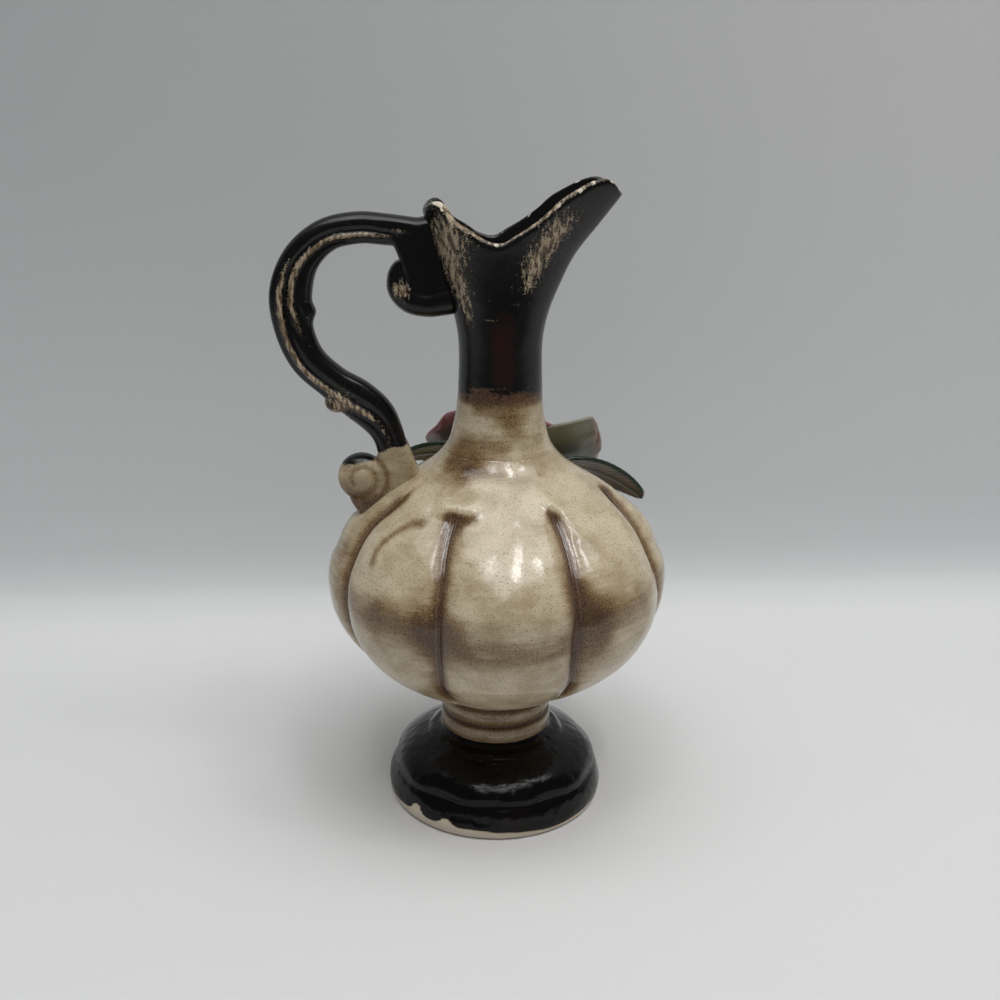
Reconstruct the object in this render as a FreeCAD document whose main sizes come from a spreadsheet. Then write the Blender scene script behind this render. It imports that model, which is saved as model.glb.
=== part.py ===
import FreeCAD, Part
import math
import os
import types
import Sketcher

# Glazed ewer with a lobed belly, a scroll handle and a hand-made rose.
# Millimetres, +Z up. The origin is the middle of the foot, on the table.
# +X is the spout's side, -X the handle's side and +Y the flower's side.

SIZES = {
    # Foot, from the table up
    "foot_rest_radius": 24.0,
    "foot_rest_width": 3.2,
    "foot_bulge_radius": 24.5,
    "foot_bulge_height": 3.9,
    "foot_groove_radius": 22.6,
    "foot_groove_height": 7.4,
    "foot_ridge_radius": 22.8,
    "foot_ridge_height": 8.3,
    "foot_dome_radius": 20.2,
    "foot_dome_height": 12.3,
    "foot_collar_radius": 15.0,
    "foot_collar_height": 14.7,
    "foot_collar_round": 0.7,
    "foot_height": 16.5,
    "foot_hollow_side": 5.0,
    "foot_hollow_height": 10.8,
    # Stem between foot and belly
    "stem_radius": 11.9,
    "stem_bead": 0.5,
    "stem_groove_radius": 11.5,
    "stem_groove_height": 4.1,
    "stem_neck_height": 7.0,
    "stem_top_radius": 13.2,
    "stem_height": 9.0,
    # Belly
    "belly_height": 56.0,
    "belly_radius": 37.0,
    "belly_groove": 3.1,
    "belly_wall": 2.2,
    "belly_floor": 3.2,
    # Neck and mouth
    "neck_base_radius": 11.4,
    "neck_bore_base_radius": 8.4,
    "neck_radius": 8.7,
    "neck_wall": 2.4,
    "neck_height": 55.7,
    "spout_reach": 24.2,
    "lip_reach": 16.9,
    "mouth_half_width": 15.6,
    # Handle
    "handle_reach": 47.2,
    "handle_drop": 9.5,
    "handle_rise": 58.3,
    "handle_width": 8.8,
    "handle_depth": 6.8,
    "curl_radius": 4.2,
    "volute_radius": 3.1,
    "scroll_depth": 7.6,
    "web_depth": 4.2,
    # Rose and leaves
    "flower_offset": 6.0,
    "flower_tilt": 45.0,
    "bud_radius": 5.0,
    "bud_centre": 8.8,
    "bud_stalk_radius": 4.2,
    "bud_root": 3.0,
    "bud_tip": 5.6,
    "petal_thickness": 1.1,
    "petal_gap": 0.15,
    "outer_petal_reach": 20.0,
    "outer_petal_width": 18.0,
    "outer_petal_curve": 34.0,
    "outer_petal_lift": 0.6,
    "leaf_length": 27.0,
    "leaf_width": 9.4,
    "leaf_thickness": 1.2,
    "leaf_curve": 30.0,
    # How far cutting shapes stand past what they cut
    "overrun": 5.0,
}
LOBES = 8

doc = FreeCAD.newDocument("ewer")
sheet = doc.addObject("Spreadsheet::Sheet", "dim")
for row, (name, size) in enumerate(SIZES.items(), 1):
    sheet.set("A%d" % row, name)
    sheet.set("B%d" % row, str(size))
    sheet.setAlias("B%d" % row, name)
doc.recompute()


class Size:
    """A size worked out from the sheet: its value, and the text that binds it."""

    def __init__(self, text, number):
        self.text = text
        self.number = number

    def with_other(self, sign, other, number):
        return Size("(%s %s %s)" % (self.text, sign, other.text), number)

    def __add__(self, other):
        other = sized(other)
        return self.with_other("+", other, self.number + other.number)

    def __sub__(self, other):
        other = sized(other)
        return self.with_other("-", other, self.number - other.number)

    def __mul__(self, other):
        other = sized(other)
        return self.with_other("*", other, self.number * other.number)

    def __neg__(self):
        return Size("(-%s)" % self.text, -self.number)

    def root(self):
        return Size("sqrt(%s)" % self.text, math.sqrt(self.number))


def sized(item):
    """Shares and zeros stand as plain numbers."""
    return item if isinstance(item, Size) else Size("%.9f" % item, item)


dim = types.SimpleNamespace(**{name: Size("dim." + name, float(sheet.get(name))) for name in SIZES})

# Heights that the pieces share
STEM_SEAT = dim.foot_height
BELLY_SEAT = STEM_SEAT + dim.stem_height
NECK_SEAT = BELLY_SEAT + dim.belly_height
HANDLE_SEAT = NECK_SEAT - dim.handle_drop
HALF_SHARE = 0.5


# Outlines whose every point is tied to the sheet


def corner(across, up):
    return ("corner", sized(across), sized(up))


def bow(across, up):
    """A place that the arc between two corners passes through."""
    return ("bow", sized(across), sized(up))


def place_of(stop):
    return FreeCAD.Vector(stop[1].number, stop[2].number)


def hold(sketch, geometry, end, stop):
    """Ties one point of a sketch to a stop's place."""
    for kind, size in (("DistanceX", stop[1]), ("DistanceY", stop[2])):
        rule = Sketcher.Constraint(kind, -1, 1, geometry, end, size.number)
        sketch.setExpression("Constraints[%d]" % sketch.addConstraint(rule), size.text)


def nearest_end(sketch, geometry, place):
    ends = [(sketch.getPoint(geometry, end).distanceToPoint(place), end) for end in (1, 2)]
    return min(ends)[1]


def outline(sketch, stops):
    """Draws a closed outline of lines and arcs through its stops."""
    corners = [i for i, stop in enumerate(stops) if stop[0] == "corner"]
    joints = []
    for i, j in zip(corners, corners[1:] + corners[:1]):
        start, end = place_of(stops[i]), place_of(stops[j])
        if j == (i + 1) % len(stops):
            edge = sketch.addGeometry(Part.LineSegment(start, end))
        else:
            middle = place_of(stops[i + 1])
            edge = sketch.addGeometry(Part.Arc(start, middle, end))
            mark = sketch.addGeometry(Part.Point(middle), True)
            hold(sketch, mark, 1, stops[i + 1])
            sketch.addConstraint(Sketcher.Constraint("PointOnObject", mark, 1, edge))
        joints.append((edge, nearest_end(sketch, edge, start), nearest_end(sketch, edge, end)))
        hold(sketch, edge, joints[-1][1], stops[i])
    for here, after in zip(joints, joints[1:] + joints[:1]):
        sketch.addConstraint(Sketcher.Constraint("Coincident", here[0], here[2], after[0], after[1]))


# Features


def axis_turned(body, kind, name, stops):
    """A solid or a hollow, turned about the jug's axis in a body."""
    sketch = body.newObject("Sketcher::SketchObject", name + "_outline")
    plane = [feature for feature in body.Origin.OriginFeatures if feature.Role == "XZ_Plane"][0]
    sketch.AttachmentSupport = [(plane, "")]
    sketch.MapMode = "FlatFace"
    outline(sketch, stops)
    feature = body.newObject(kind, name)
    feature.Profile = sketch
    feature.ReferenceAxis = (sketch, ["V_Axis"])
    feature.Angle = 360
    return feature


def turned(body, name, stops):
    return axis_turned(body, "PartDesign::Revolution", name, stops)


def hollowed(body, name, stops):
    doc.recompute()
    return axis_turned(body, "PartDesign::Groove", name, stops)


def free_sketch(name, placement, stops):
    """A sketch outside any body, for the pieces that booleans make."""
    sketch = doc.addObject("Sketcher::SketchObject", name)
    sketch.Placement = placement
    outline(sketch, stops)
    return sketch


def two_shapes(kind, name, base, tool):
    feature = doc.addObject(kind, name)
    feature.Base = base
    feature.Tool = tool
    return feature


def cut(name, base, tool):
    return two_shapes("Part::Cut", name, base, tool)


def common(name, base, tool):
    return two_shapes("Part::Common", name, base, tool)


def prism(name, sketch, length, both_ways=True):
    """Stands a sketch's outline out along its normal."""
    feature = doc.addObject("Part::Extrusion", name)
    feature.Base = sketch
    feature.DirMode = "Normal"
    feature.Solid = True
    feature.Symmetric = both_ways
    feature.setExpression("LengthFwd", length.text)
    return feature


def loft(name, sections):
    feature = doc.addObject("Part::Loft", name)
    feature.Sections = sections
    feature.Solid = True
    feature.Ruled = False
    return feature


def smooth_loop(name, points):
    """A closed smooth curve through points worked out from the sheet."""
    curve = Part.BSplineCurve()
    curve.interpolate(Points=points, PeriodicFlag=True)
    feature = doc.addObject("Part::Feature", name)
    feature.Shape = Part.Wire([curve.toShape()])
    return feature


UPRIGHT = FreeCAD.Placement(FreeCAD.Vector(), FreeCAD.Rotation(FreeCAD.Vector(1, 0, 0), 90))
LEVEL = FreeCAD.Placement()


# Foot: a turned dome with a bulging rim, a ridge and a collar, hollow beneath

HOLLOW_ROOF_SHARE = 0.5


def make_foot():
    body = doc.addObject("PartDesign::Body", "foot")
    collar_top = dim.foot_collar_height + dim.foot_collar_round
    ridge_top = dim.foot_ridge_height + dim.foot_ridge_height - dim.foot_groove_height
    turned(body, "foot_turned", [
        corner(0, 0),
        corner(dim.foot_rest_radius, 0),
        bow(dim.foot_bulge_radius, dim.foot_bulge_height),
        corner(dim.foot_groove_radius, dim.foot_groove_height),
        bow(dim.foot_ridge_radius, dim.foot_ridge_height),
        corner(dim.foot_groove_radius, ridge_top),
        bow(dim.foot_dome_radius, dim.foot_dome_height),
        corner(dim.foot_collar_radius + dim.foot_collar_round, dim.foot_collar_height),
        bow(dim.foot_collar_radius, collar_top),
        corner(dim.foot_collar_radius - dim.foot_collar_round, collar_top),
        bow(dim.stem_radius + dim.foot_collar_round, dim.foot_height - dim.foot_collar_round),
        corner(dim.stem_radius, dim.foot_height),
        corner(0, dim.foot_height),
    ])
    hollow_radius = dim.foot_rest_radius - dim.foot_rest_width
    hollowed(body, "foot_hollow", [
        corner(0, 0),
        corner(hollow_radius, 0),
        corner(hollow_radius, dim.foot_hollow_side),
        corner(hollow_radius * HOLLOW_ROOF_SHARE, dim.foot_hollow_height),
        corner(0, dim.foot_hollow_height),
    ])
    return body


# Stem: two soft beads with a line between them, spreading under the belly


def make_stem():
    body = doc.addObject("PartDesign::Body", "stem")
    groove = STEM_SEAT + dim.stem_groove_height
    waist = STEM_SEAT + dim.stem_neck_height
    spread = dim.stem_top_radius - dim.stem_radius
    turned(body, "stem_turned", [
        corner(0, STEM_SEAT),
        corner(dim.stem_radius, STEM_SEAT),
        bow(dim.stem_radius + dim.stem_bead, STEM_SEAT + dim.stem_groove_height * HALF_SHARE),
        corner(dim.stem_groove_radius, groove),
        bow(dim.stem_radius + dim.stem_bead * HALF_SHARE, (groove + waist) * HALF_SHARE),
        corner(dim.stem_radius, waist),
        bow(dim.stem_radius + spread * HALF_SHARE * HALF_SHARE, (waist + BELLY_SEAT) * HALF_SHARE),
        corner(dim.stem_top_radius, BELLY_SEAT),
        corner(0, BELLY_SEAT),
    ])
    return body


# Belly: eight lobes lofted through level rings of arcs, then hollowed

BELLY_HEIGHT_SHARES = (0.08, 0.223, 0.4375, 0.616, 0.777, 0.92)
BELLY_RADIUS_SHARES = (0.584, 0.838, 1.0, 0.938, 0.705, 0.427)
BELLY_GROOVE_SHARES = (0.52, 0.87, 1.0, 0.97, 0.58, 0.06)
BELLY_FOOT_GROOVE_SHARE = 0.16
BELLY_NECK_GROOVE_SHARE = 0.0
CAVITY_HEIGHT_SHARES = (0.134, 0.223, 0.366, 0.509, 0.634, 0.777, 0.92)
CAVITY_RADIUS_SHARES = (0.63, 0.80, 0.97, 0.99, 0.885, 0.665, 0.39)
CAVITY_FLOOR_SHARE = 0.39


def on_belly(share):
    return BELLY_SEAT + dim.belly_height * share


def lobed_ring(name, height, crest, groove):
    """A level ring of arcs: the lobes bow out between the grooves."""
    stops = []
    for i in range(LOBES):
        valley_turn = 2 * math.pi * (i - HALF_SHARE) / LOBES
        crest_turn = 2 * math.pi * i / LOBES
        valley = crest - groove
        stops.append(corner(valley * math.cos(valley_turn), valley * math.sin(valley_turn)))
        stops.append(bow(crest * math.cos(crest_turn), crest * math.sin(crest_turn)))
    sketch = free_sketch(name, LEVEL, stops)
    sketch.setExpression("Placement.Base.z", height.text)
    return sketch


def make_belly_form():
    """The belly's outside as a solid, which other pieces are seated on."""
    foot_groove = dim.belly_groove * BELLY_FOOT_GROOVE_SHARE
    neck_groove = dim.belly_groove * BELLY_NECK_GROOVE_SHARE
    rings = [lobed_ring("belly_ring_foot", BELLY_SEAT, dim.stem_top_radius, foot_groove)]
    for i, share in enumerate(BELLY_HEIGHT_SHARES):
        crest = dim.belly_radius * BELLY_RADIUS_SHARES[i]
        groove = dim.belly_groove * BELLY_GROOVE_SHARES[i]
        rings.append(lobed_ring("belly_ring_%d" % (i + 1), on_belly(share), crest, groove))
    rings.append(lobed_ring("belly_ring_neck", NECK_SEAT, dim.neck_base_radius, neck_groove))
    return loft("belly_form", rings)


def make_belly(form):
    inside = dim.belly_radius - dim.belly_groove - dim.belly_wall
    floor = BELLY_SEAT + dim.belly_floor
    stops = [corner(0, floor), corner(inside * CAVITY_FLOOR_SHARE, floor)]
    for up_share, out_share in zip(CAVITY_HEIGHT_SHARES, CAVITY_RADIUS_SHARES):
        stops.append(corner(inside * out_share, on_belly(up_share)))
    stops.append(corner(dim.neck_bore_base_radius, NECK_SEAT))
    stops.append(corner(0, NECK_SEAT))
    cavity = doc.addObject("Part::Revolution", "belly_cavity")
    cavity.Source = free_sketch("belly_cavity_outline", UPRIGHT, stops)
    cavity.Axis = FreeCAD.Vector(0, 0, 1)
    cavity.Angle = 360
    cavity.Solid = True
    return cut("belly", form, cavity)


# Neck and mouth: level loops that grow from a round neck into a beaked mouth

LOOP_POINTS = 12
MOUTH_PINCH_SHARE = 0.62
# Each ring: height, base flare, back, front, width and pinch
NECK_RING_SHARES = (
    (0.0, 1.0, 0.0, 0.0, 0.0, 0.0),
    (0.063, 0.59, 0.0, 0.0, 0.0, 0.0),
    (0.153, 0.185, 0.0, 0.0, 0.0, 0.0),
    (0.30, 0.0, 0.0, 0.0, 0.0, 0.0),
    (0.42, 0.0, 0.02, 0.0, 0.0, 0.0),
    (0.52, 0.0, 0.15, 0.07, 0.04, 0.13),
    (0.62, 0.0, 0.40, 0.21, 0.17, 0.40),
    (0.727, 0.0, 0.61, 0.40, 0.42, 0.68),
    (0.835, 0.0, 0.82, 0.70, 0.74, 0.89),
    (0.943, 0.0, 1.0, 1.0, 1.0, 1.0),
    (1.05, 0.0, 1.13, 1.245, 1.2, 1.06),
)
# The rim seen from the side: places out along the reach and up the neck
RIM_LIP_SHARES = ((0.98, 0.872), (0.91, 0.912), (0.78, 0.921), (0.33, 0.812), (0.06, 0.796))
RIM_SPOUT_SHARES = ((0.16, 0.826), (0.50, 0.932), (0.70, 0.981), (0.88, 1.0), (0.96, 0.99), (1.01, 0.945))


def mouth_loop(name, shares, inset, base_radius):
    """One level loop. The pinch draws its sides in towards the spout."""
    height_share, base_share, back_share, front_share, width_share, pinch_share = shares
    neck = dim.neck_radius.number
    around = neck - inset + base_share * (base_radius - neck + inset)
    back = around + back_share * (dim.lip_reach.number - neck)
    front = around + front_share * (dim.spout_reach.number - neck)
    pinch = pinch_share * MOUTH_PINCH_SHARE
    narrowing = inset * (1 / (1 - pinch * HALF_SHARE) - 1)
    half = around + width_share * (dim.mouth_half_width.number - neck) - narrowing
    height = NECK_SEAT + dim.neck_height * height_share
    points = []
    for i in range(LOOP_POINTS):
        turn = 2 * math.pi * i / LOOP_POINTS
        along = ((front - back) + (front + back) * math.cos(turn)) * HALF_SHARE
        across = half * math.sin(turn) * (1 - pinch * (1 + math.cos(turn)) * HALF_SHARE)
        points.append(FreeCAD.Vector(along, across, height.number))
    return smooth_loop(name, points)


def neck_solid(name, inset, base_radius):
    rings = []
    for i, shares in enumerate(NECK_RING_SHARES):
        rings.append(mouth_loop("%s_ring_%d" % (name, i + 1), shares, inset, base_radius))
    return loft(name, rings)


def rim_stops(kinds, reach, shares):
    return [kind(reach * out, NECK_SEAT + dim.neck_height * up) for kind, (out, up) in zip(kinds, shares)]


def make_neck(form):
    bore = neck_solid("neck_bore", dim.neck_wall.number, dim.neck_bore_base_radius.number)
    stops = rim_stops((corner, bow, corner, corner, bow), -dim.lip_reach, RIM_LIP_SHARES)
    stops += rim_stops((corner, corner, bow, corner, bow, corner), dim.spout_reach, RIM_SPOUT_SHARES)
    beyond_lip = -dim.lip_reach - dim.overrun
    beyond_spout = dim.spout_reach + dim.overrun + dim.overrun
    top = NECK_SEAT + dim.neck_height + dim.overrun
    stops.append(corner(beyond_spout, stops[-1][2]))
    stops.append(corner(beyond_spout, top))
    stops.append(corner(beyond_lip, top))
    stops.append(corner(beyond_lip, stops[0][2]))
    breadth = dim.mouth_half_width + dim.mouth_half_width + dim.overrun
    trim = prism("rim_trim", free_sketch("rim_outline", UPRIGHT, stops), breadth)
    return cut("neck", cut("neck_tube", form, bore), trim)


# Handle: moulded scrolls. Each is lofted through loops set square to its spine.

# A loop's quarter: places across and out of the handle's middle plane
SECTION_SHARES = ((1.0, 0.0), (0.72, 0.83), (0.0, 1.0))
# Each stop of a spine: out along the reach, up the rise, and its width
BOW_SPINE_SHARES = (
    (0.265, 0.937, 0.75),
    (0.371, 0.928, 0.705),
    (0.487, 0.937, 0.705),
    (0.614, 0.945, 0.716),
    (0.748, 0.919, 0.75),
    (0.856, 0.839, 0.864),
    (0.905, 0.724, 1.0),
    (0.898, 0.604, 0.91),
    (0.843, 0.492, 0.852),
    (0.739, 0.410, 0.818),
    (0.631, 0.3465, 0.977),
    (0.547, 0.285, 0.955),
    (0.498, 0.211, 0.75),
    (0.4725, 0.12, 0.77),
    (0.462, 0.026, 0.95),
    (0.462, -0.069, 1.14),
)
BOW_DEPTH_SHARE = 1.0
SPUR_SPINE_SHARES = (
    (0.64, 0.40, 0.5),
    (0.684, 0.36, 0.6),
    (0.717, 0.327, 0.56),
    (0.733, 0.292, 0.36),
)
SPUR_DEPTH_SHARE = 0.85
# The two scrolls: middle, root places in their own radii, radius, start in degrees, sense
SCROLLS = (
    ("handle_curl", (0.366, 0.75), ((1.98, -1.0), (1.02, -1.06)), "curl_radius", -90, -1),
    ("handle_volute", (0.623, 0.053), ((1.6, 1.9), (0.9, 1.2)), "volute_radius", 90, 1),
)
SCROLL_TURNS = 0.8
SCROLL_STEPS = 8
SCROLL_WIDTH_SHARE = 1.05
SCROLL_END_WIDTH_SHARE = 0.55
SCROLL_END_SHARE = 0.42
SCROLL_EYE_SHARE = 0.36
# Corners of the web under the handle's arm, and of the pad under its foot
WEB_SHARES = ((0.436, 0.90), (0.424, 0.806), (0.366, 0.75), (0.366, 0.684), (0.19, 0.684), (0.21, 0.909))
PAD_SHARES = ((0.69, 0.017), (0.70, -0.09), (0.424, -0.05), (0.445, 0.12), (0.58, 0.10))
PAD_DEPTH_SHARE = 0.86


def on_handle(out_share, up_share):
    """A place on the handle's upright middle plane."""
    out = dim.handle_reach.number * out_share
    up = HANDLE_SEAT.number + dim.handle_rise.number * up_share
    return FreeCAD.Vector(-out, 0, up)


def whole_section():
    """The full loop, mirrored from its quarter."""
    quarter = list(SECTION_SHARES)
    half = quarter + [(-across, out) for across, out in reversed(quarter[:-1])]
    return half + [(across, -out) for across, out in reversed(half[1:-1])]


def bead(name, spine, widths, depth):
    """A solid bead along a spine, a little waisted on its two side faces."""
    curve = Part.BSplineCurve()
    curve.interpolate(Points=spine)
    loops = []
    for i, (place, width) in enumerate(zip(spine, widths)):
        along = curve.tangent(curve.parameter(place))[0]
        side = FreeCAD.Vector(-along.z, 0, along.x) * (width * HALF_SHARE)
        deep = FreeCAD.Vector(0, depth * HALF_SHARE, 0)
        points = [place + side * across + deep * out for across, out in whole_section()]
        loops.append(smooth_loop("%s_loop_%d" % (name, i + 1), points))
    return loft(name, loops)


def spine_bead(name, shares, depth_share):
    spine = [on_handle(out, up) for out, up, width_share in shares]
    widths = [dim.handle_width.number * width_share for out, up, width_share in shares]
    return bead(name, spine, widths, dim.handle_depth.number * depth_share)


def scroll(name, middle_shares, root_shares, size, start, sense):
    """A bead that winds in from its root, and the ball it winds round."""
    middle = on_handle(*middle_shares)
    radius = size.number
    spine = [middle + FreeCAD.Vector(out, 0, up) * radius for out, up in root_shares]
    widths = [radius * SCROLL_WIDTH_SHARE] * len(spine)
    for i in range(SCROLL_STEPS + 1):
        share = i / SCROLL_STEPS
        turn = math.radians(start) + sense * 2 * math.pi * SCROLL_TURNS * share
        reach = radius * (1 + (SCROLL_END_SHARE - 1) * share)
        spine.append(middle + FreeCAD.Vector(reach * math.cos(turn), 0, reach * math.sin(turn)))
        widths.append(radius * SCROLL_WIDTH_SHARE * (1 + (SCROLL_END_WIDTH_SHARE - 1) * share))
    eye = doc.addObject("Part::Sphere", name + "_eye")
    eye.setExpression("Radius", (size * SCROLL_EYE_SHARE).text)
    eye.Placement = FreeCAD.Placement(middle, FreeCAD.Rotation())
    return [bead(name, spine, widths, dim.scroll_depth.number), eye]


def handle_slab(name, shares, depth):
    heights = [HANDLE_SEAT + dim.handle_rise * up for out, up in shares]
    stops = [corner(-dim.handle_reach * out, height) for (out, up), height in zip(shares, heights)]
    return prism(name, free_sketch(name + "_outline", UPRIGHT, stops), depth)


def make_handle(neck_outside, belly_outside):
    pieces = [
        spine_bead("handle_bow", BOW_SPINE_SHARES, BOW_DEPTH_SHARE),
        spine_bead("handle_spur", SPUR_SPINE_SHARES, SPUR_DEPTH_SHARE),
    ]
    for name, middle_shares, root_shares, size, start, sense in SCROLLS:
        pieces += scroll(name, middle_shares, root_shares, getattr(dim, size), start, sense)
    pieces.append(handle_slab("handle_web", WEB_SHARES, dim.web_depth))
    pieces.append(handle_slab("handle_pad", PAD_SHARES, dim.handle_depth * PAD_DEPTH_SHARE))
    scrolls = doc.addObject("Part::MultiFuse", "handle_scrolls")
    scrolls.Shapes = pieces
    return cut("handle", cut("handle_off_neck", scrolls, neck_outside), belly_outside)


# Rose: a bud on a stalk, then petals cut from shells that nest round it

RING_PETALS = 3
RINGS = (
    # name, place in the nest, first heading in degrees, top, width
    ("rose_inner_petal", 1, 30, 0.82, 1.44),
    ("rose_middle_petal", 2, 90, 0.80, 1.56),
)
OUTER_PETALS = (
    # heading in degrees, share of the reach, layer
    (-20, 1.1, 0),
    (-75, 0.8, 1),
    (-155, 1.2, 0),
    (155, 0.9, 1),
    (90, 0.9, 0),
    (35, 0.85, 1),
)
# The rose's seat: its height up the belly, and its distance from the axis
FLOWER_SEAT_SHARES = (0.777, 0.705)
PETAL_BASE_SHARE = 0.28
PETAL_BELLY_SHARE = 0.56
PETAL_BROW_SHARE = 0.88
PETAL_TIP_SHARE = 0.36
BUD_SHOULDER_SHARES = (0.4, 0.87)
# Sketch axes turned so that a petal stands up and its normal faces outward
STANDING = FreeCAD.Placement(FreeCAD.Vector(), FreeCAD.Rotation(FreeCAD.Vector(1, 0, 1), 180))


def flower_place():
    """The rose's own frame: its seat on the shoulder, leaning outward."""
    up_share, out_share = FLOWER_SEAT_SHARES
    up = on_belly(up_share)
    out = dim.belly_radius * out_share
    seat = FreeCAD.Vector(dim.flower_offset.number, out.number, up.number)
    return FreeCAD.Placement(seat, FreeCAD.Rotation(FreeCAD.Vector(1, 0, 0), -dim.flower_tilt.number))


def moved(place, x, y, z):
    """A frame shifted along its own axes."""
    return place.multiply(FreeCAD.Placement(FreeCAD.Vector(x, y, z), FreeCAD.Rotation()))


def turned_about(place, axis, degrees):
    """A frame turned about one of its own axes."""
    return place.multiply(FreeCAD.Placement(FreeCAD.Vector(), FreeCAD.Rotation(axis, degrees)))


ACROSS = FreeCAD.Vector(0, 1, 0)
NORMAL = FreeCAD.Vector(0, 0, 1)


def shell(name, radius, thickness, place):
    """A hollow ball that one petal or leaf is cut from."""
    balls = []
    for layer, size in (("outside", radius), ("inside", radius - thickness)):
        ball = doc.addObject("Part::Sphere", "%s_%s" % (name, layer))
        ball.setExpression("Radius", size.text)
        ball.Placement = place
        balls.append(ball)
    return cut(name, *balls)


def petal_stops(base, reach, width):
    """A petal seen square on: narrow at its base and round at its tip."""
    length = reach - base
    base_half = width * HALF_SHARE * PETAL_BASE_SHARE
    half = width * HALF_SHARE
    tip_half = width * HALF_SHARE * PETAL_TIP_SHARE
    belly = base + length * PETAL_BELLY_SHARE
    brow = base + length * PETAL_BROW_SHARE
    return [
        corner(base, -base_half),
        bow(belly, -half),
        corner(brow, -tip_half),
        bow(reach, 0),
        corner(brow, tip_half),
        bow(belly, half),
        corner(base, base_half),
    ]


def make_bud(belly_outside):
    body = doc.addObject("PartDesign::Body", "rose_bud")
    waist = (dim.bud_radius * dim.bud_radius - dim.bud_stalk_radius * dim.bud_stalk_radius).root()
    out_share, up_share = BUD_SHOULDER_SHARES
    turned(body, "rose_bud_turned", [
        corner(0, -dim.bud_root),
        corner(dim.bud_stalk_radius, -dim.bud_root),
        corner(dim.bud_stalk_radius, dim.bud_centre - waist),
        bow(dim.bud_radius, dim.bud_centre),
        corner(dim.bud_stalk_radius, dim.bud_centre + waist),
        corner(dim.bud_radius * out_share, dim.bud_centre + dim.bud_tip * up_share),
        corner(0, dim.bud_centre + dim.bud_tip),
    ])
    body.Placement = flower_place()
    return cut("rose_heart", body, belly_outside)


def make_ring_petals(name, layer, first_heading, top_share, width_share):
    """Upright petals wrapped round the bud, one ring outside another."""
    radius = dim.bud_radius + (dim.petal_gap + dim.petal_thickness) * layer
    inner = radius - dim.petal_thickness
    stalk = dim.bud_stalk_radius + dim.petal_gap
    base = dim.bud_centre - (inner * inner - stalk * stalk).root()
    petals = []
    for i in range(RING_PETALS):
        label = "%s_%d" % (name, i + 1)
        place = turned_about(flower_place(), NORMAL, first_heading + 360.0 * i / RING_PETALS)
        middle = moved(place, 0, 0, dim.bud_centre.number)
        ball = shell(label + "_shell", radius, dim.petal_thickness, middle)
        stops = petal_stops(base, dim.bud_centre + radius * top_share, inner * width_share)
        sketch = free_sketch(label + "_outline", place.multiply(STANDING), stops)
        block = prism(label + "_prism", sketch, radius + dim.overrun, False)
        petals.append(common(label, ball, block))
    return petals


def make_outer_petals(belly_outside):
    """Open petals that spread over the shoulder in two layers."""
    petals = []
    base = dim.bud_stalk_radius + dim.petal_gap
    for i, (heading, reach_share, layer) in enumerate(OUTER_PETALS):
        label = "rose_outer_petal_%d" % (i + 1)
        place = turned_about(flower_place(), NORMAL, heading)
        middle = moved(place, 0, 0, (dim.outer_petal_curve + dim.outer_petal_lift).number)
        radius = dim.outer_petal_curve - (dim.petal_thickness + dim.petal_gap) * layer
        bowl = shell(label + "_shell", radius, dim.petal_thickness, middle)
        stops = petal_stops(base, dim.outer_petal_reach * reach_share, dim.outer_petal_width)
        block = prism(
            label + "_prism", free_sketch(label + "_outline", place, stops),
            dim.outer_petal_reach + dim.outer_petal_reach)
        petals.append(cut(label, common(label + "_form", bowl, block), belly_outside))
    return petals


# Leaves: pointed, arched blades that lie on the shoulder under the petals

LEAVES = (
    # share of the length to the root, root heading, blade heading, size, droop
    (0.355, -33.7, 25.0, 1.0, 7.0),
    (0.385, -125.0, 162.0, 0.74, 4.0),
    (0.41, 116.5, 117.6, 0.72, 8.0),
)
LEAF_ROOT_SINK_SHARE = 1.4


def make_leaves(belly_outside):
    leaves = []
    for i, (root_share, root_heading, heading, size_share, droop) in enumerate(LEAVES):
        label = "leaf_%d" % (i + 1)
        half = dim.leaf_length * (size_share * HALF_SHARE)
        curve = dim.leaf_curve
        crown = curve - (curve * curve - half * half).root()
        out = dim.leaf_length * root_share
        sink = dim.leaf_thickness * LEAF_ROOT_SINK_SHARE
        root = moved(turned_about(flower_place(), NORMAL, root_heading), out.number, 0, -sink.number)
        aimed = turned_about(turned_about(root, NORMAL, heading - root_heading), ACROSS, droop)
        place = moved(aimed, half.number, 0, crown.number)
        arch = shell(label + "_shell", curve, dim.leaf_thickness, moved(place, 0, 0, -curve.number))
        half_width = dim.leaf_width * HALF_SHARE
        sketch = free_sketch(label + "_outline", place, [
            corner(-half, 0),
            bow(0, -half_width),
            corner(half, 0),
            bow(0, half_width),
        ])
        block = prism(label + "_prism", sketch, dim.leaf_width + dim.overrun + dim.overrun)
        leaves.append(cut(label, common(label + "_form", arch, block), belly_outside))
    return leaves


# The whole jug

belly_form = make_belly_form()
neck_form = neck_solid("neck_form", 0, dim.neck_base_radius.number)
nodes = [make_foot(), make_stem(), make_belly(belly_form), make_neck(neck_form)]
nodes.append(make_handle(neck_form, belly_form))
nodes.append(make_bud(belly_form))
for ring in RINGS:
    nodes += make_ring_petals(*ring)
nodes += make_outer_petals(belly_form)
nodes += make_leaves(belly_form)
doc.recompute()

faults = [item.Label for item in doc.Objects if "Invalid" in item.State or "Error" in item.State]
faults += [node.Label for node in nodes if node.Shape.isNull() or not node.Shape.isValid()]
if faults:
    raise RuntimeError("these did not build: " + ", ".join(faults))

os.makedirs("parts", exist_ok=True)
for node in nodes:
    node.Shape.exportStep("parts/%s.step" % node.Label)
    print("%s: %d solid, %.0f mm3" % (node.Label, len(node.Shape.Solids), node.Shape.Volume))
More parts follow.
